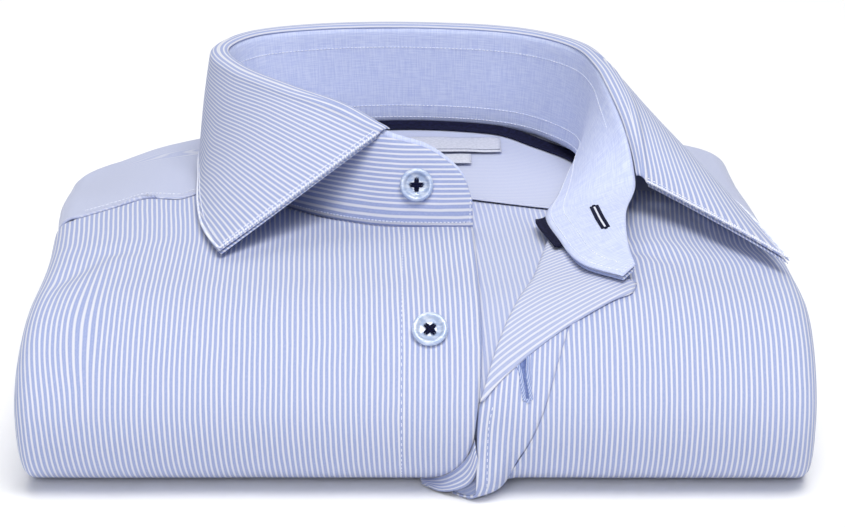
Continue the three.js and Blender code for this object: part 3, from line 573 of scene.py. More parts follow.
def chambray():
    """Plain light blue cloth with darker and lighter slubs along both threads."""
    n = Nodes("chambray", Roughness=0.78, Sheen_Weight=0.2, Sheen_Roughness=0.5)
    u, v = n.uv()
    warp = n.noise(u, v, 2.6, 0.16, 3.0)
    weft = n.noise(u, v, 0.12, 2.4, 3.0)
    both = n.math("MULTIPLY", n.math("ADD", warp, weft), 0.5)
    n.colour(n.mix(n.ramp(both, 0.3, 0.7), srgb(187, 198, 237), srgb(213, 221, 248)))
    n.bump(n.math("ADD", weave(n, u, v, 0.5), n.math("MULTIPLY", both, 2.0)), 0.00008, 0.4)
    return n.material


def plain_cloth(name, dark, light, roughness=0.75, pitch=0.5):
    """Plain woven cloth or tape, a little uneven."""
    n = Nodes(name, Roughness=roughness, Specular_IOR_Level=0.15)
    u, v = n.uv()
    patch = n.noise(u, v, 0.9, 0.9, 4.0)
    n.colour(n.mix(n.ramp(patch, 0.3, 0.7), dark, light))
    n.bump(weave(n, u, v, pitch), 0.00008, 0.5)
    return n.material


def thread(name, dark, light):
    """Sewing thread, twisted: painted shade makes it darker between its strands."""
    n = Nodes(name, Roughness=0.75, Specular_IOR_Level=0.12, Sheen_Weight=0.04)
    u, v = n.uv()
    twist = n.math("SINE", n.math("MULTIPLY", n.math("ADD", u, v), 9.0))
    # painted shade: dark to light across the twist stands for shade in the grooves between strands
    n.colour(n.mix(n.ramp(twist, -1.0, 1.0), dark, light))
    n.bump(twist, 0.00005, 0.5)
    return n.material


def pearl():
    """Pearly light blue button resin with cloudy bands."""
    n = Nodes("pearl", Roughness=0.12, Coat_Weight=0.8, Coat_Roughness=0.05)
    u, v = n.uv()
    cloud = n.noise(u, v, 0.35, 0.8, 3.0)
    n.colour(n.mix(n.ramp(cloud, 0.35, 0.7), srgb(168, 186, 220), srgb(206, 216, 236)))
    return n.material


STRIPED = striped("striped_cloth")
WRONG_SIDE = striped("striped_wrong_side", contrast=0.9, light=0.18)
YOKE = striped("striped_yoke", contrast=0.6, light=0.32)
INSIDE = striped("striped_inside", contrast=0.75, light=0.12)
INSIDE_YOKE = striped("striped_inside_yoke", contrast=0.5, light=0.4)
# painted shade: the band's wrong side below the twist keeps only a third of its white lines, so it reads
# darker blue as in its hollow; a wrong side's slightly fainter stripes are real, the rest is painted shade
FOOT_SIDE_PAINTED_SHADE = striped("striped_foot_painted_shade", contrast=0.35)
CHAMBRAY = chambray()
NAVY_TAPE = plain_cloth("navy_tape", srgb(14, 15, 38), srgb(26, 28, 58), 0.9, 0.8)
LABEL_SATIN = plain_cloth("label_satin", srgb(202, 205, 218), srgb(216, 218, 230), 0.45, 0.3)
LABEL_LINE = plain_cloth("label_line", srgb(120, 126, 150), srgb(140, 146, 168))
WHITE_THREAD = thread("white_thread", srgb(214, 222, 246), srgb(252, 252, 255))
BLUE_THREAD = thread("blue_thread", srgb(134, 152, 204), srgb(198, 208, 236))
NAVY_THREAD = thread("navy_thread", srgb(4, 6, 26), srgb(14, 20, 62))
# painted shade: a dark sheet laid in the front buttonhole's slit stands for the shadow in its opening
SLIT_PAINTED_SHADE = plain_cloth("slit_shade", srgb(92, 108, 160), srgb(118, 134, 186), 0.95)
PEARL = pearl()

# ------------------------------------------------------------------ fronts


def seam_along(x):
    return FRONT_TOP_REACH - (look_up(YOKE_SEAM, "x", "y", x) - GAP)


SEAM_TUCK = 2.2  # how far a front reaches in under the yoke
LAP = 1.3  # how far the front lies over the band


def under_leaf(x):
    """How far the buttonhole side's front shows behind the yoke seam, under the leaf."""
    return 17 * smooth((x - 50) / 8) * smooth((104 - x) / 14)


def band_recess(x, along):
    return LAYER * 1.5 * smooth((x + 26) / 12) * smooth((along - 96) / 12)


def panel_grid(right, inner_edge, flat_steps):
    """A front: rows from the yoke seam over the fold, columns from its edge to the side."""
    rows = int(PROFILE_END + 80) // 2
    share = np.linspace(0, 1, rows)
    sign = 1 if right else -1

    def outer(along):
        return sign * (half_width(profile(0, along)[0], right) - roll_radius(along))

    columns = []
    for t in np.linspace(0, 1, flat_steps):
        x = np.full(rows, mix(30.0, sign * 115.0, t))
        for _ in range(6):
            start = seam_along(x[0]) - SEAM_TUCK - (under_leaf(x[0]) if right else 0)
            along = mix(start, PROFILE_END, share)
            x = mix(inner_edge(along), outer(along), t)
        columns.append((x, along))
    grid = []
    for x, along in columns:
        tuck = 1.5 * smooth((along[0] + SEAM_TUCK + 0.6 - along) / 1.6)
        if right:
            shown = smooth(under_leaf(x[0]) / 4)
            tuck = tuck * (1 - shown) - 1.5 * shown * smooth((along[0] + 20 - along) / 5)
        lap = -0.9 * smooth((inner_edge(along) + 3 - x) / 3) if right else band_recess(x, along)
        grid.append(skin(x, along, tuck + lap - relief(x, along) * (along > along[0] + SEAM_TUCK)))
    stripes = [paired(x + stripe_shift(x, along), along) for x, along in columns]
    along = mix(seam_along(sign * 118.0), PROFILE_END, share)
    for turn in [*np.linspace(0, 1, 9)[1:], 1.3, 1.65, 2]:
        grid.append(side_skin(right, along, turn))
        reach = roll_radius(along) * (math.pi / 2) * min(turn, 1) + SIDE_TURN * max(turn - 1, 0)
        stripes.append(paired(outer(along) + sign * reach + stripe_shift(outer(along), along), along))
    if not right:
        grid, stripes = grid[::-1], stripes[::-1]
    return np.stack(grid, axis=1), np.stack(stripes, axis=1)


def front_right():
    grid, uv = panel_grid(False, lambda along: look_up(RIGHT_EDGE, "along", "x", along), 88)
    piece = cloth("front_right_cloth", grid, uv, STRIPED, replaces=["front_right"])


def front_left():
    grid, uv = panel_grid(True, lambda along: look_up(LAP_LINE, "along", "x", along) - LAP, 52)
    grid[..., 2] = np.maximum(grid[..., 2], 0)
    piece = cloth("front_left_cloth", grid, uv, STRIPED, replaces=["front_left"])


def band_skin(x, along, inset=0.0):
    """The skin of the buttonhole band, which bulges at the foot of the fold."""
    point = skin(x, along, inset)
    angle = (math.pi / 2) * np.clip((along - TOP_ARC) / LOW_ARC, 0, 1)
    power = mix(1, look_up(BAND_FOOT, "x", "power", x), smooth((along - TOP_ARC) / 14))
    y = FRONT_LOW_REACH * (1 - np.cos(angle) ** power)
    z = MID_HEIGHT * (1 - np.sin(angle) ** power)
    dy, dz = FRONT_LOW_REACH - y, MID_HEIGHT - z
    reach = np.maximum(np.hypot(dy, dz), 1e-6)
    bulged = np.stack([x, y + dy / reach * inset, z + dz / reach * inset], axis=-1)
    low = ((along > TOP_ARC) & (along < UNDER_START))[..., None]
    return np.where(low, bulged, point)


def placket_band():
    along = spaced(-38, REAR_START, 2.0)[:, None]
    t = np.linspace(0, 1, 24)[None, :]
    left = look_up(BAND_EDGE, "along", "x", along)
    lap = look_up(LAP_LINE, "along", "x", along)
    x = mix(left, lap + 2.5, t)
    along = np.broadcast_to(along, x.shape)
    crown = 0.5 * np.sin(math.pi * t) ** 0.6 * smooth((TOP_ARC + 20 - along) / 20)
    grid = band_skin(x, along, -crown + 1.7 * smooth((x - lap + 2.2) / 2.4))
    grid[..., 2] = np.maximum(grid[..., 2], 0)
    uv = paired(x + 0.1 * (along - 50) * (1 - t), along)
    piece = cloth("placket_band_cloth", grid, uv, STRIPED, replaces=["placket_band"])


# the band's twisted foot: the tube of cloth behind the rolled corner, by its two outlines
TWIST_UPPER = [
    (2.4, 19, 1.6), (6.3, 18, 2.2), (10.4, 13.4, 5.6), (14.4, 8.4, 10.7), (18.1, 4.3, 17), (19.7, 2.4, 22),
]
TWIST_LOWER = [
    (3.6, 17.5, 1), (5.6, 14, 1), (9.4, 10.5, 1.2), (13.5, 7.5, 2.9), (17.5, 4.6, 6), (19.4, 3, 9.6),
    (20.4, 2, 15),
]
# what shows of the band's wrong side below that tube, its colour darkened as painted shade
FOOT_UPPER = [(10.5, 13, 2.2), (14, 10, 5), (18.5, 8, 8), (20.6, 6, 9.5)]
FOOT_LOWER = [(12.1, 12.6, 0.9), (16.5, 7.2, 0.5), (18.3, 5.4, 0.5), (20.6, 4.6, 1.5)]


def loft(upper, lower, rows, columns):
    """Cloth between two outlines, its rows along them."""
    lines = []
    for outline in (upper, lower):
        line = curve(outline, 60)
        lines.append(resampled(line, np.linspace(0, lengths(line)[-1], rows)))
    t = np.linspace(0, 1, columns)[None, :]
    return mix(lines[0][:, None], lines[1][:, None], t[..., None]), t


def placket_twist():
    grid, t = loft(TWIST_UPPER, TWIST_LOWER, 44, 18)
    grid = grid + np.array([0.1, -1.9, -0.2]) * np.sin(math.pi * t[..., None]) ** 0.8
    grid[..., 2] = np.maximum(grid[..., 2], 0.4)
    run = lengths(grid[:, 9])[:, None]
    uv = paired(9 * t + 0.02 * run, run)
    piece = cloth("placket_twist_cloth", grid, uv, STRIPED, thickness=0.6, replaces=["placket_twist"])
    grid, t = loft(FOOT_UPPER, FOOT_LOWER, 20, 12)
    grid[..., 2] = np.maximum(grid[..., 2], 0.4)
    uv = paired(9 * t + grid[..., 0] * 0.5, grid[..., 0])
    piece = cloth("placket_foot_cloth", grid, uv, FOOT_SIDE_PAINTED_SHADE, thickness=0.6)


def turn_back_grid(rows=56, columns=30):
    """The turned-back corner: its roll first, its free edge last."""
    at = np.linspace(0, len(TURN_BACK["puff"]) - 1, rows)
    keys = {"at": list(range(len(TURN_BACK["puff"]))), **TURN_BACK}
    row = {name: look_up(keys, "at", name, at)[:, None] for name in TURN_BACK}
    t = np.linspace(0, 1, columns)[None, :]
    x = mix(row["roll_x"], row["edge_x"], t)
    along = mix(row["roll_along"], row["edge_along"], t)
    crown = row["puff"] * np.sin(math.pi * np.minimum(t * 1.25, 1))
    fold = -0.5 * np.exp(-(((t - 0.45) / 0.1) ** 2)) * smooth((at[:, None] - 3) / 2)
    return skin(x, along, -(LAYER + crown + fold))[::-1]


def turn_back():
    grid = turn_back_grid()
    edge = grid[:, -1]
    chord = unit(edge[-12] - edge[10])
    offset = grid - edge[30]
    uv = paired(offset @ np.cross(chord, normals_of(grid)[30, 15]), offset @ chord)
    piece = cloth("placket_turn_back_cloth", grid, uv, WRONG_SIDE, replaces=["placket_turn_back"])


# ------------------------------------------------------------------ yoke and back


def yoke_boundary():
    """Boundary of the flat top behind the yoke seam, from left to right, with its normals."""
    rows = []
    for right, ys in ((False, np.linspace(112, 192, 24)), (True, np.linspace(203, 108.6, 28))):
        sign = 1 if right else -1
        x = sign * (half_width(ys, right) - SIDE_ROLL)
        rows.append(np.stack([x, ys, np.full(len(ys), sign), np.zeros(len(ys))], axis=1))
    x = np.linspace(-110, 104, 60)
    y = look_up(SHOULDER_FOLD, "x", "y", x) - REAR_TOP_REACH
    rear = np.stack([x, y, np.zeros(60), np.ones(60)], axis=1)

    def corner(a, b):
        t = np.linspace(0, 1, 10)[1:-1, None]
        turn = unit(mix(a[2:], b[2:], t))
        return np.hstack([mix(a[:2], b[:2], t) + turn * 4 * np.sin(math.pi * t) * 0.5, turn])

    return np.vstack([rows[0], corner(rows[0][-1], rear[0]), rear, corner(rear[-1], rows[1][0]), rows[1]])


def neck_seam(share):
    """Points of the stand's seam at shares of its length, and its directions there."""
    line = curve([row[:3] for row in COLLAR], 400)
    at = np.asarray(share) * lengths(line)[-1]
    return resampled(line, at), unit(resampled(line, at + 0.5) - resampled(line, at - 0.5))


def yoke_outer():
    edge = yoke_boundary()
    count = len(edge)
    t = np.linspace(0, 1, count)
    neck = neck_seam(mix(YOKE_NECK_FROM, YOKE_NECK_TO, t))[0][:, :2]
    neck = neck + 2 * LAYER * unit(edge[:, :2] - neck)
    weight = np.clip(np.maximum(1 - t * 14, 1 - (1 - t) * 14), 0, 1)[:, None]
    s = np.linspace(0, 1, 40)[None, :]
    x = mix(neck[:, :1], edge[:, :1], s)
    x = np.where(edge[:, :1] < 0, mix(x, -62 - 53 * s, weight), x)
    y = mix(mix(neck[:, 1:2], edge[:, 1:2], s), look_up(YOKE_SEAM, "x", "y", x) + GAP, weight)
    z = top_height(x, y)
    lift = 0.25 * noise(x, y, 24, 8) + 0.4 * weight
    top = np.stack([x, y, z + lift * np.sin(math.pi * np.clip(s, 0.02, 1) * 0.5)], axis=-1)
    start = top[:, -1]
    rear = edge[:, 3] ** 2
    reach = mix(SIDE_ROLL, REAR_TOP_REACH, rear)
    drop = mix(SIDE_ROLL, (start[:, 2] - HALVES_MEET) / 2, rear)
    rim = []
    for turn in np.linspace(0, 1, 14)[1:]:
        angle = (math.pi / 2) * (turn * (1 + 0.55 * rear))
        out = reach * np.sin(angle)
        flange = SIDE_TURN * (1 - rear) * max(turn - 0.8, 0)
        down = drop * (1 - np.cos(angle)) + flange
        rim.append(start + np.column_stack([edge[:, 2] * out, edge[:, 3] * out, -down]))
    grid = np.concatenate([top, np.stack(rim, axis=1)], axis=1)
    flat = grid[:, :, 1] - (grid[:, :, 2] - start[:, 2:3]) * rear[:, None] * 1.3
    uv = paired(flat, grid[:, :, 0])
    piece = cloth("yoke_outer_cloth", grid, uv, YOKE, replaces=["yoke_outer"])


def inner_seam_y(x):
    """The seam between the back and the inner yoke, on the neck's floor."""
    return 127 - 0.42 * (x - 21) + 0.0022 * (x - 21) ** 2


def inner_panel(from_x, to_x, from_y, to_y, bend):
    """A flat panel just under the outer pieces, seen through the open neck."""
    x = spaced(from_x, to_x)[None, :]
    v = spaced(0, 1, 0.02)[:, None]
    y = mix(to_y(x), from_y(x), v)
    x = np.broadcast_to(x, y.shape)
    return skin(x, FRONT_TOP_REACH - y, INNER_DEPTH - bend(x, y)), x, y


def yoke_inner():
    grid, x, y = inner_panel(
        -62, 66,
        lambda x: inner_seam_y(x) - 0.8,
        lambda x: NECK_BACK_Y + 2 - 0.006 * x * x,
        lambda x, y: 0.1 * noise(x, y, 20, 11) + 0.9 * smooth((inner_seam_y(x) + 4 - y) / 4),
    )
    uv = paired(y, x)
    piece = cloth("yoke_inner_cloth", grid, uv, INSIDE_YOKE, thickness=0.8, replaces=["yoke_inner"])


BACK_CREASE = [(34, 118), (41, 105), (45, 94)]


def back_panel():
    def bend(x, y):
        far, share = near_line(x, y, BACK_CREASE)
        return 0.1 * noise(x, y, 18, 12) - 0.6 * np.exp(-((far / 3) ** 2)) * np.sin(math.pi * share)

    front_y = FRONT_TOP_REACH - BACK_PANEL_END
    grid, x, y = inner_panel(-20, 80, lambda x: front_y + 0 * x, inner_seam_y, bend)
    uv = paired(x + 0.06 * y, y)
    piece = cloth("back_panel_cloth", grid, uv, INSIDE, thickness=0.8, replaces=["back_panel"])


# ------------------------------------------------------------------ hidden layers

CORE_INSET = 1.7
CORE_CORNER = 14
LAYERS = 7


def rear_layer(start_y, low, high, reach, steps):
    """One rounded roll of the rear fold, from its low side to its high side."""
    lowest = CORE_INSET + 2 * LAYER if low == 0 else low + 0.6
    highest = high - CORE_INSET - LAYER if low == 0 or high > 35 else high - 0.6
    angle = (math.pi / 2) * np.linspace(-1, 1, steps)
    y = start_y - 2 + (reach - CORE_INSET - 1) * np.cos(angle)
    return np.stack([y, (lowest + highest) / 2 + (highest - lowest) / 2 * np.sin(angle)], axis=1)


def core_section(x, share):
    """Section of the hidden layers at x, all round, shrunk towards its middle by a share."""
    rear_y = float(look_up(SHOULDER_FOLD, "x", "y", x))
    cut = CORE_CORNER * float(smooth((abs(x) - 95) / 30))
    rear_start = rear_y - REAR_TOP_REACH - cut
    along = np.concatenate([
        np.linspace(FRONT_TOP_REACH - rear_start + 4, 0, 28),
        np.linspace(0, UNDER_START, 36)[1:],
        np.linspace(UNDER_START, REAR_START - cut - 4, 20)[1:],
    ])
    y, _ = profile(x, along)
    inner = np.where(along < 20, smooth((92 - abs(x)) / 8) * smooth((y - 8) / 10), 0)
    band = np.where(along > TOP_ARC, smooth((x + 34) / 8) * smooth((50 - x) / 8), 0)
    points = skin(x, along, CORE_INSET + LAYER * 1.6 * np.maximum(inner, band))[:, 1:]
    top = float(top_height(np.array(float(x)), np.array(rear_start)))
    rear = np.vstack([
        rear_layer(REAR_LOW_START - cut, 0, HALVES_MEET - 3, REAR_LOW_RADIUS, 9),
        rear_layer(REAR_LOW_START - cut, HALVES_MEET - 3, HALVES_MEET + 3, 8, 7),
        rear_layer(rear_start, HALVES_MEET + 3, top, REAR_TOP_REACH, 9),
    ])
    ring = np.vstack([points, rear])
    middle = np.stack([np.clip(ring[:, 0], 34, 190), np.full(len(ring), float(MID_HEIGHT))], axis=1)
    return mix(ring, middle, share)


def layer_out(share):
    """How far the folded layers stand out at a share of the way in: rounded, with grooves."""
    within = (share * LAYERS) % 1.0
    return 4.4 * max(1 - abs(2 * within - 1) ** 3, 0) ** 0.6


def folded_layers():
    stations = [(t, 0.0, 0.0) for t in np.linspace(-1, 1, 14)]
    sides = [(1.0, share, layer_out(share)) for share in np.linspace(0.02, 0.93, 76)]
    stations = [(-t, share, out) for t, share, out in sides[::-1]] + stations + sides
    rings, uvs = [], []
    for t, share, out in stations:
        ring = core_section(t * 116, share)
        right = t > 0
        x = t * (half_width(ring[:, 0], right) - SIDE_ROLL) + (1 if right else -1) * out * (share > 0)
        rings.append(np.column_stack([x, ring]))
        uvs.append(paired(np.abs(x) + share * 70, lengths(ring)))
    grid, uv = np.stack(rings), np.stack(uvs)
    count, around = grid.shape[:2]
    points = np.vstack([grid.reshape(-1, 3), grid[0].mean(0), grid[-1].mean(0)])
    flat_uv = np.vstack([uv.reshape(-1, 2), uv[0].mean(0), uv[-1].mean(0)])
    faces = tube_faces(count, around)
    first = count * around
    for k in range(around):
        following = (k + 1) % around
        faces.append((first, following, k))
        faces.append((first + 1, first - around + k, first - around + following))
    new_piece("folded_layers_cloth", points, faces, flat_uv, STRIPED, replaces=["folded_layers"])


# ------------------------------------------------------------------ collar


def collar_rows(start, end, count):
    """Seam, top edge and free edge of the collar at even stations, with roll and bow."""
    at = np.linspace(start, end, count)
    table = np.array(COLLAR, float)
    parts = [np.array([curve_at(table[:, k : k + 3], a) for a in at]) for k in (0, 3, 6)]
    keys = {"at": np.arange(len(COLLAR)), "roll": table[:, 9], "bow": table[:, 10]}
    return (*parts, look_up(keys, "at", "roll", at), look_up(keys, "at", "bow", at), at)


def stand_grid(low, high, count=240, steps=24):
    """The stand between two shares of its height, with cloth coordinates and stations."""
    base, top, _, _, _, at = collar_rows(0, len(COLLAR) - 1, count)
    t = np.linspace(low, high, steps)[None, :, None]
    grid = mix(base[:, None], top[:, None], t)
    run = lengths((base + top) / 2)
    tall = np.linalg.norm(top - base, axis=1)
    return grid, paired(tall[:, None] * t[..., 0], run[:, None]), at


def inner_stand():
    grid, uv, at = stand_grid(-0.02, 1)
    inside = smooth((at - LEAF_FIRST) / 0.6) * smooth((LEAF_LAST - at) / 0.6)
    rise = inside[:, None] * smooth((uv[..., 0] / uv[:, -1:, 0] - 0.8) / 0.2)
    grid = grid + np.array([0, 0, 1.1]) * rise[..., None]
    ripple = 0.25 * noise(uv[..., 1], uv[..., 0], 22, 21)
    return grid + normals_of(grid) * (ripple * smooth(uv[..., 0] / 6))[..., None], uv, at


def stand_inner():
    grid, uv, _ = inner_stand()
    piece = cloth("collar_stand_inner_cloth", grid, uv, CHAMBRAY, slot="chambray",
                  replaces=["collar_stand_inner"])


def stand_outer_grid():
    grid, uv, at = stand_grid(0, 1 - STAND_TRIM)
    front = smooth((9 - at) / 3)[:, None] * smooth((6 - uv[..., 0]) / 6)
    return grid - normals_of(grid) * STAND_STEP - np.array([0, 0, 2.2]) * front[..., None], uv


def stand_outer():
    grid, uv = stand_outer_grid()
    piece = cloth("collar_stand_outer_cloth", grid, uv, STRIPED, replaces=["collar_stand_outer"])


LEAF_ROLL_STEPS, LEAF_FALL_STEPS = 16, 34


def leaf_grid(count=200):
    """The leaf from inside the roll, over it, and down to its edge, with lengths along each row."""
    _, top, edge, roll, bow, at = collar_rows(LEAF_FIRST, LEAF_LAST, count)
    top = top + (0, 0, 4 * GAP)
    outward = unit((edge - top) * (1, 1, 0))
    shoulder = top + outward * roll[:, None] - np.array([0, 0, 0.15]) * roll[:, None]
    angle = np.linspace(0, math.pi, LEAF_ROLL_STEPS)[None, :, None]
    over = mix(top[:, None], shoulder[:, None], (1 - np.cos(angle)) / 2)
    over = over + np.array([0, 0, 1]) * (roll * ROLL_RISE)[:, None, None] * np.sin(angle)
    t = np.linspace(0, 1, LEAF_FALL_STEPS)[None, 1:, None]
    fall = mix(shoulder[:, None], edge[:, None], t)
    fall = fall + outward[:, None] * bow[:, None, None] * np.sin(math.pi * t)
    grid = np.concatenate([over, fall], axis=1)
    steps = np.linalg.norm(np.diff(grid, axis=1), axis=2)
    down = np.concatenate([np.zeros((count, 1)), np.cumsum(steps, axis=1)], axis=1)
    run = lengths(top)[:, None] + 0 * down
    return grid, down, run, at


LEAF_LOOKS = np.array([0.0, -0.94, 0.34])  # the way that both points of the leaf look
LEAF_POINTS = [
    # end, side of the roll, roll's far station, stripe spread, fan, all straight, none, bend
    (0, -1, 5.9, 1.07, 0.0042, 6.9, 9.2, 6.0),
    (-1, 1, 13.0, 1.35, 0.0055, 13.6, 12.0, 0.0),
]


def leaf_stripes(grid, down, at):
    """Distance across the stripes, which run with the leaf's roll and stay straight at its points."""
    across = down.copy()
    roll = 8
    away = np.arange(grid.shape[1]) - roll
    for end, side, towards, spread, fan, full, last, bend in LEAF_POINTS:
        offset = grid - grid[end, roll]
        chord = unit(offset[int(np.argmin(np.abs(at - towards))), roll])
        level = side * offset @ unit(np.cross(LEAF_LOOKS, chord))
        straight = spread * level * (1 + fan * (offset @ chord))
        share = smooth((at - last) / (full - last))[:, None]
        hold = smooth(away / 12) * smooth((bend - at) / 1.2)[:, None]
        from_roll = down[:, roll : roll + 1] - straight[:, roll : roll + 1]
        laid = straight + mix(from_roll, down[end, roll], hold)
        across[:, roll:] = mix(across, laid, share)[:, roll:]
    return across


def leaf_shape():
    grid, down, run, at = leaf_grid()
    ripple = 0.3 * noise(run, down, 26, 31) * smooth((down - 8) / 10)
    return grid + normals_of(grid) * ripple[..., None], down, run, at


def leaf_upper():
    grid, down, run, at = leaf_shape()
    uv = paired(leaf_stripes(grid, down, at), run)
    piece = cloth("collar_leaf_cloth", grid, uv, STRIPED, replaces=["collar_leaf"])


def leaf_under():
    grid, down, run, _ = leaf_grid()
    fall = LEAF_ROLL_STEPS - 1
    grid = (grid - normals_of(grid) * (LAYER - 0.1))[:, fall:]
    uv = paired(down, run)[:, fall:]
    piece = cloth("collar_leaf_under_cloth", grid, uv, STRIPED, thickness=0.8,
                  replaces=["collar_leaf_under"])


# ------------------------------------------------------------------ trimmings


def neck_tape():
    share = np.linspace(TAPE_FROM, TAPE_TO + 0.01, 130)
    seam, tangent = neck_seam(share)
    inward = unit(paired(tangent[:, 1], -tangent[:, 0]))
    reach = np.linspace(TAPE_WIDTH, TAPE_CLEAR - 1, 12)[None, :]
    shift = 1.4 * smooth((0.3 - share) / 0.05) - 6 * smooth((share - 0.6) / 0.07)
    xy = seam[:, None, :2] + inward[:, None] * (reach + shift[:, None])[..., None]
    rise = 1.1 * smooth((3 - reach) / 3)
    z = top_height(xy[..., 0], xy[..., 1]) - INNER_DEPTH + 0.9 + rise
    grid = np.concatenate([xy, z[..., None]], axis=2)
    uv = paired(reach, lengths(seam)[:, None])
    piece = cloth("neck_tape_cloth", grid, uv, NAVY_TAPE, thickness=0.6, slot="navy_trim",
                  replaces=["neck_tape"])


def neck_tape_end():
    base, top, *_ = collar_rows(TAPE_END["from"], TAPE_END["to"], 24)
    t = np.linspace(TAPE_END["low"], TAPE_END["high"] + 0.04, 10)[None, :]
    grid = mix(base[:, None], top[:, None], t[..., None])
    grid[..., 2] -= 0.6 * np.sin(math.pi * np.linspace(0, 1, 10))
    uv = paired(30 * t, lengths(base)[:, None])
    piece = cloth("neck_tape_end_cloth", grid, uv, NAVY_TAPE, thickness=0.8, slot="navy_trim",
                  replaces=["neck_tape_end"])


def on_inner_yoke(x, y, rise=0.0):
    """A slightly uneven grid that lies on the inner yoke, with its cloth coordinates."""
    x, y = np.broadcast_arrays(x, y)
    lift = LAYER + GAP + 0.25 * noise(x, y, 9, 41) + rise
    return skin(x, FRONT_TOP_REACH - y, INNER_DEPTH - lift), paired(x, y)


def label(name, size, node):
    x = size["x"] + np.linspace(-0.5, 0.5, 30)[None, :] * size["width"]
    y = size["y"] + np.linspace(0.5, -0.5, 14)[:, None] * size["depth"]
    grid, uv = on_inner_yoke(x, y)
    piece = cloth(name, grid, uv, LABEL_SATIN, thickness=0.7, slot="label_satin", replaces=[node])


def label_line():
    """The grey line along the neck label's front edge."""
    x = LABEL["x"] + np.linspace(-0.5, 0.5, 20)[None, :] * (LABEL["width"] - 1)
    y = LABEL["y"] - LABEL["depth"] / 2 + np.array([2.1, 1.8, 1.5])[:, None]
    grid, uv = on_inner_yoke(x, y, 0.12)
    cloth("neck_label_line", grid, uv, LABEL_LINE, thickness=0.2, slot="label_satin")


# ------------------------------------------------------------------ sewing


def on_grid(grid, i, j):
    """Values of a grid at fractional rows and columns."""
    i = np.clip(i, 0, grid.shape[0] - 1.001)
    j = np.clip(j, 0, grid.shape[1] - 1.001)
    a, b = np.floor(i).astype(int), np.floor(j).astype(int)
    s, t = (i - a)[:, None], (j - b)[:, None]
    return mix(mix(grid[a, b], grid[a + 1, b], s), mix(grid[a, b + 1], grid[a + 1, b + 1], s), t)


CAPSULE = [(-1, 0.35), (-0.72, 0.85), (0, 1), (0.72, 0.85), (1, 0.35)]  # place along, radius share
CAPSULE_SIDES = 6


def threads(name, middles, directions, normals, length, radius, material, slot):
    """Short rounded threads, each lying along its direction, as one piece."""
    across = unit(np.cross(normals, directions))
    up = unit(np.cross(directions, across))
    angle = np.linspace(0, 2 * math.pi, CAPSULE_SIDES, endpoint=False)
    rings = []
    for place_along, share in CAPSULE:
        centre = middles + directions * (length / 2 * place_along)
        for a in angle:
            rings.append(centre + (across * math.cos(a) + up * math.sin(a)) * radius * share)
    points = np.stack(rings, axis=1).reshape(-1, 3)
    per, sides = len(rings), CAPSULE_SIDES
    one = [*tube_faces(len(CAPSULE), sides), range(sides)[::-1], range(per - sides, per)]
    faces = [[c + q * per for c in face] for q in range(len(middles)) for face in one]
    uv = paired(points[:, 0], points[:, 1] - points[:, 2])
    new_piece(name, points, faces, uv, material, slot=slot)


def stitches(name, line, normals, pitch, length, radius, slot="striped_cloth", slant=0.0):
    """A row of stitches along a line on cloth."""
    run = lengths(line)
    at = np.arange(pitch * 0.6, run[-1] - pitch * 0.4, pitch)
    middles = resampled(line, at)
    directions = unit(resampled(line, at + 0.3) - resampled(line, at - 0.3))
    n = unit(resampled(normals, at, run))
    turned = directions * math.cos(slant) + np.cross(n, directions) * math.sin(slant)
    threads(name, middles + n * radius * 0.3, turned, n, length, radius, WHITE_THREAD, slot)


def grid_stitches(name, grid, i, j, pitch, length, radius, side=1, **kind):
    """A row of stitches over a grid of cloth, through fractional rows and columns."""
    i, j = np.broadcast_arrays(np.asarray(i, float), np.asarray(j, float))
    normals = on_grid(normals_of(grid), i, j) * side
    stitches(name, on_grid(grid, i, j), normals, pitch, length, radius, **kind)


def rows_at(at, first, last, count=160):
    """Fractional rows of a grid between two of its stations."""
    return np.interp(np.linspace(first, last, count), at, np.arange(len(at)))


def columns_at(reach, i, distance):
    """Fractional columns where a row's length from its start comes to a distance."""
    rows = np.clip(np.round(i).astype(int), 0, len(reach) - 1)
    goal = np.broadcast_to(distance, rows.shape)
    return np.array([np.interp(d, reach[r], np.arange(reach.shape[1])) for r, d in zip(rows, goal)])


def chambray_stitches():
    grid, uv, at = inner_stand()
    for name, first, last, low, high in (
        ("stand_seam_row", 3, 18.7, 6.2, None),
        ("stand_top_row", 6, 14.6, None, 6.2),
        ("stand_foot_row", 9, 19, 1.5, None),
    ):
        i = rows_at(at, first, last)
        rows = np.clip(np.round(i).astype(int), 0, len(uv) - 1)
        goal = low if low is not None else uv[rows, -1, 0] - high
        grid_stitches(name, grid, i, columns_at(uv[..., 0], i, goal), 1.45, 1.0, 0.17, slot="chambray")
    rows = len(grid) - 1
    step = np.linalg.norm(grid[-1] - grid[-3], axis=1) / 2
    j = np.linspace(1.5, grid.shape[1] - 2, 40)
    i = rows - 1.4 / np.interp(j, np.arange(grid.shape[1]), step)
    grid_stitches("stand_end_row", grid, i, j, 1.45, 1.0, 0.17, slot="chambray")


def stand_stitches():
    grid, uv = stand_outer_grid()
    grid = grid - normals_of(grid) * CLOTH
    i = np.linspace(3, 90, 120)
    j = columns_at(uv[..., 0] - uv[:, :1, 0], i, 1.3)
    grid_stitches("stand_edge_row", grid, i, j, 1.3, 0.95, 0.17, side=-1)
    j = np.linspace(2, grid.shape[1] - 2, 40)
    grid_stitches("stand_front_row", grid, 3.0, j, 1.3, 0.95, 0.17, side=-1)


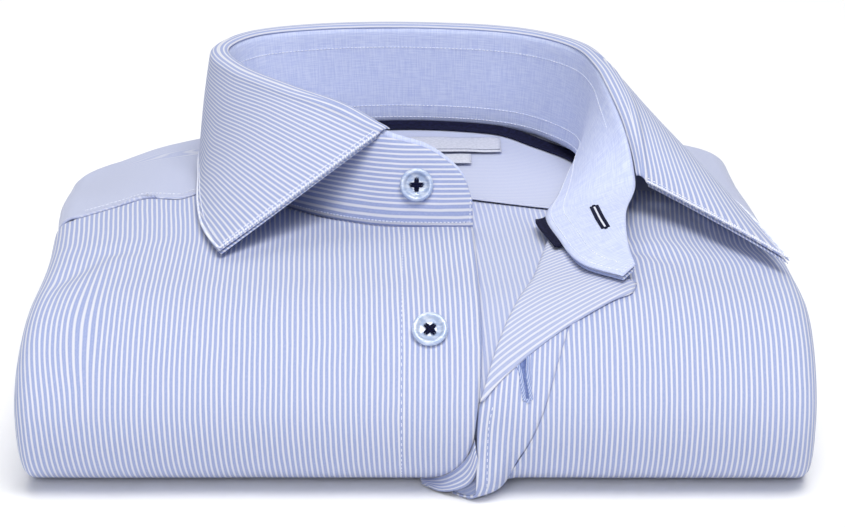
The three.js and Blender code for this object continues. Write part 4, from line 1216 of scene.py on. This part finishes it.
def leaf_stitches():
    grid, down, _, _ = leaf_shape()
    last = grid.shape[0] - 1
    step = [np.linalg.norm(grid[k + 1] - grid[k], axis=1) for k in (0, last - 1)]
    for name, inset, pitch, length, radius, slant in (
        ("leaf_edge_row", 0.5, 1.0, 1.15, 0.34, 0.75),
        ("leaf_inner_row", 2.2, 1.35, 1.0, 0.17, 0.0),
    ):
        tip = columns_at(down, np.array([0.0, last]), down[[0, last], -1] - inset)
        i = np.linspace(inset / np.median(step[0]), last - inset / np.median(step[1]), 500)
        j = columns_at(down, i, down[np.round(i).astype(int), -1] - inset)
        grid_stitches(name, grid, i, j, pitch, length, radius, slant=slant)
        for end, spacing, side_name in ((0, step[0], "left"), (last, step[1], "right")):
            j = np.linspace(14, tip[0 if end == 0 else 1], 120)
            inward = inset / np.interp(j, np.arange(len(spacing)), spacing)
            i = inward if end == 0 else last - inward
            grid_stitches(f"{name}_{side_name}", grid, i, j, pitch, length, radius, slant=slant)


def skin_stitches(name, points, surface, pitch, length, radius):
    """A row of stitches along (x, length over the fold) on the body."""
    x, along = curve(points, 160).T
    at = surface(x, along)
    n = unit(np.cross(surface(x, along + 0.5) - at, surface(x + 0.5, along) - at))
    n *= np.where((n * [0, -1, 0.3]).sum(1, keepdims=True) < 0, -1, 1)
    stitches(name, at, n, pitch, length, radius)


def front_surface(x, along):
    return skin(x, along, band_recess(x, along) - relief(x, along))


def band_surface(x, along):
    return band_skin(x, along, -0.5)


def body_stitches():
    facing = [(-3.3, -50), (-3.3, -10), (-3.3, 30), (-3.3, 60), (-3.4, 88)]
    skin_stitches("facing_row", facing, front_surface, 2.4, 1.3, 0.12)
    skin_stitches("band_row", [(25, 52), (23.6, 62), (23.3, 78), (23.2, 92)], band_surface, 2.2, 1.2, 0.12)
    x = np.linspace(-113, -64, 120)
    y = look_up(YOKE_SEAM, "x", "y", x) + 1.6
    z = top_height(x, y) + 1.15
    up = np.tile([0.0, -0.3, 1.0], (len(x), 1))
    stitches("yoke_seam_row", np.stack([x, y, z], axis=1), unit(up), 1.7, 1.2, 0.14)


# ------------------------------------------------------------------ buttonholes


def buttonhole(name, line, normals, half_width, slit, thread_material, slit_material, slot, flare):
    """Purl stitches round a slit that follows a line; flare widens it at its start."""
    run = lengths(line)
    at = np.arange(0.2, run[-1] - 0.1, 0.42)
    middle = resampled(line, at)
    tangent = unit(resampled(line, at + 0.2) - resampled(line, at - 0.2))
    n = unit(resampled(normals, at, run))
    side = unit(np.cross(n, tangent))
    wide = half_width * (1 + flare * smooth(1 - at / run[-1] * 2.2))[:, None]
    spots, directions, ups = [], [], []
    for sign in (-1, 1):
        spots.append(middle + side * sign * wide + n * 0.15)
        directions.append(unit(side + tangent * 0.15))
        ups.append(n)
    for end, k in ((-1, 0), (1, -1)):
        for offset in (0.0, 0.4, 0.8):
            spots.append((middle[k] + tangent[k] * end * offset + n[k] * 0.2)[None])
            directions.append(side[k][None])
            ups.append(n[k][None])
    reach = half_width * 0.95
    threads(name, np.vstack(spots), np.vstack(directions), np.vstack(ups), reach * 1.3, 0.27,
            thread_material, slot)
    # a thin sheet in slit_material fills the slit; on the front buttonhole that sheet is painted shade
    t = np.linspace(-1, 1, 7)[None, :, None]
    grid = middle[:, None] + side[:, None] * t * (wide[:, None] - half_width + slit) + n[:, None] * 0.12
    uv = paired(t[..., 0], at[:, None])
    if np.dot(normals_of(grid)[len(grid) // 2, 3], n[len(grid) // 2]) < 0:
        grid, uv = grid[:, ::-1], uv[:, ::-1]
    cloth(f"{name}_slit", grid, uv, slit_material, thickness=0.2, slot=slot)


def buttonholes():
    grid, _, at = inner_stand()
    i = rows_at(at, 16.4, 17.3, 40)
    j = np.linspace(0.545, 0.685, 40) * (grid.shape[1] - 1)
    buttonhole("stand_buttonhole", on_grid(grid, i, j), on_grid(normals_of(grid), i, j), 0.95, 0.3,
               NAVY_THREAD, WHITE_THREAD, "navy_trim", 0.0)
    x, along = curve([(33.9, 34.5), (34.5, 39), (34.9, 43), (35.8, 50.5)], 60).T
    on_band = band_surface(x, along)
    n = unit(on_band - skin(x, along, 6))
    buttonhole("front_buttonhole", on_band, n, 1.05, 0.55, BLUE_THREAD, SLIT_PAINTED_SHADE, "striped_cloth", 0.9)


# ------------------------------------------------------------------ buttons

# half section of a button, from the middle of its face to the middle of its back
BUTTON_SECTION = [
    (0, 0.85), (1.6, 0.85), (3.1, 0.9), (3.6, 1.1), (3.95, 1.6), (4.3, 2.05), (4.75, 2.2), (5.2, 2.1),
    (5.55, 1.75), (5.7, 1.3), (5.65, 0.85), (5.35, 0.35), (4.8, 0.08), (4.0, 0), (0, 0),
]
HOLE_AWAY, HOLE_RADIUS = 1.7, 0.7


def button(name, node, spec, turn):
    """A four-hole button with a raised rim, and the thread that crosses its middle."""
    lean = math.radians(spec["lean"])
    axes = np.array([[1, 0, 0], [0, math.sin(lean), math.cos(lean)], [0, -math.cos(lean), math.sin(lean)]])
    sides = 64
    angle = np.linspace(0, 2 * math.pi, sides, endpoint=False)
    points = [(0, 0, BUTTON_SECTION[0][1])]
    for r, z in BUTTON_SECTION[1:-1]:
        points += [(r * math.cos(a), r * math.sin(a), z) for a in angle]
    rings = len(BUTTON_SECTION) - 2
    points.append((0, 0, 0))
    faces = tube_faces(rings, sides, 1, flip=True)
    last = 1 + (rings - 1) * sides
    for k in range(sides):
        following = (k + 1) % sides
        faces.append((0, 1 + k, 1 + following))
        faces.append((last + k, len(points) - 1, last + following))
    shape = np.array(points, float)
    piece = new_piece(name, np.array(spec["at"]) + shape @ axes, faces, shape[:, :2], PEARL,
                      slot="pearl_button", replaces=[node])
    for k in range(4):
        a = math.radians(turn + 45 + 90 * k)
        centre = np.array([HOLE_AWAY * math.cos(a), HOLE_AWAY * math.sin(a), 1.1])
        at = np.array(spec["at"]) + centre @ axes
        drill(piece, at, axes, f"{name}_hole_{k + 1}")
    crossing, directions = [], []
    for k in (0, 1):
        a = math.radians(turn + 45 + 90 * k)
        for shift in (-0.38, 0.38):
            offset = np.array([-math.sin(a) * shift, math.cos(a) * shift, 1.15 + 0.25 * k])
            crossing.append(np.array(spec["at"]) + offset @ axes)
            directions.append(np.array([math.cos(a), math.sin(a), 0]) @ axes)
    threads(f"{name}_thread", np.array(crossing), np.array(directions), np.tile(axes[2], (4, 1)),
            2 * HOLE_AWAY + 1.0, 0.5, NAVY_THREAD, "navy_trim")


def drill(piece, at, axes, name):
    """Cut one thread hole through a button."""
    sides = 20
    angle = np.linspace(0, 2 * math.pi, sides, endpoint=False)
    ring = np.column_stack([HOLE_RADIUS * np.cos(angle), HOLE_RADIUS * np.sin(angle), 0 * angle])
    ends = np.concatenate([ring + (0, 0, -3), ring + (0, 0, 3)])
    mesh = bpy.data.meshes.new(name)
    faces = [*tube_faces(2, sides), range(sides)[::-1], range(sides, 2 * sides)]
    mesh.from_pydata(place(at + ends @ axes).tolist(), [], faces)
    cutter = bpy.data.objects.new(name, mesh)
    COLLECTION.objects.link(cutter)
    cut = piece.modifiers.new("hole", "BOOLEAN")
    cut.operation = "DIFFERENCE"
    cut.solver = "EXACT"
    cut.object = cutter
    bpy.context.view_layer.update()
    drilled = bpy.data.meshes.new_from_object(piece.evaluated_get(bpy.context.evaluated_depsgraph_get()))
    piece.modifiers.clear()
    piece.data = drilled
    bpy.data.objects.remove(cutter)


# ------------------------------------------------------------------ building

front_right()
front_left()
placket_band()
placket_twist()
turn_back()
yoke_outer()
yoke_inner()
back_panel()
folded_layers()
stand_inner()
stand_outer()
leaf_upper()
leaf_under()
neck_tape()
neck_tape_end()
label("neck_label_cloth", LABEL, "neck_label")
label("size_label_cloth", SIZE_LABEL, "size_label")
label_line()
chambray_stitches()
stand_stitches()
leaf_stitches()
body_stitches()
buttonholes()
button("collar_button", "button_collar", COLLAR_BUTTON, 45)
button("front_button", "button_front", FRONT_BUTTON, 0)

# ------------------------------------------------------------------ stage

FLOOR_WHITE = (0.97, 0.97, 0.975, 1)
LAMP_WHITE = (1.0, 0.985, 0.95)
SKY, SKY_STRENGTH = (0.86, 0.9, 1.0, 1), 0.31
# where each softbox hangs, what it faces, its sides in metres, its watts
SOFTBOXES = {
    "key_softbox": ((0.25, -0.8, 1.8), (0, 0, 0.03), (1.1, 0.8), 28.5),
    "fill_softbox": ((-0.3, -1.6, 0.9), (0, 0, 0.06), (0.8, 0.6), 8),
    "back_softbox": ((-0.3, 1.1, 1.3), (0, 0.02, 0.03), (1.3, 0.9), 9),
}
CAMERA_AT = (3.2, -811.5, 376.5)  # in the shirt's own axes, in mm
CAMERA_PITCH = 20
FOCAL_PIXELS, FRAME_PIXELS, SENSOR = 2848, 845, 36.0


def floor():
    mesh = bpy.data.meshes.new("floor")
    mesh.from_pydata([(-6, -6, 0), (6, -6, 0), (6, 6, 0), (-6, 6, 0)], [], [(0, 1, 2, 3)])
    paper = Nodes("floor_white", Roughness=0.9, Specular_IOR_Level=0.1, Base_Color=FLOOR_WHITE)
    mesh.materials.append(paper.material)
    plane = bpy.data.objects.new("floor", mesh)
    COLLECTION.objects.link(plane)


def softbox(name, position, target, size, power):
    lamp = bpy.data.lights.new(name, "AREA")
    lamp.shape = "RECTANGLE"
    lamp.size, lamp.size_y = size
    lamp.energy = power
    lamp.color = LAMP_WHITE
    made = bpy.data.objects.new(name, lamp)
    made.location = position
    made.rotation_euler = (Vector(target) - Vector(position)).to_track_quat("-Z", "Y").to_euler()
    COLLECTION.objects.link(made)


def studio():
    world = bpy.data.worlds.new("studio")
    world.use_nodes = True
    background = world.node_tree.nodes["Background"]
    background.inputs["Color"].default_value = SKY
    background.inputs["Strength"].default_value = SKY_STRENGTH
    bpy.context.scene.world = world
    for name, settings in SOFTBOXES.items():
        softbox(name, *settings)
    bpy.context.scene.view_settings.view_transform = "Standard"


def camera():
    data = bpy.data.cameras.new("camera")
    data.sensor_width = SENSOR
    data.lens = SENSOR * FOCAL_PIXELS / FRAME_PIXELS
    made = bpy.data.objects.new("camera", data)
    made.location = place(CAMERA_AT).tolist()
    made.rotation_euler = (math.radians(90 - CAMERA_PITCH), 0, 0)
    COLLECTION.objects.link(made)
    bpy.context.scene.camera = made


floor()
studio()
camera()
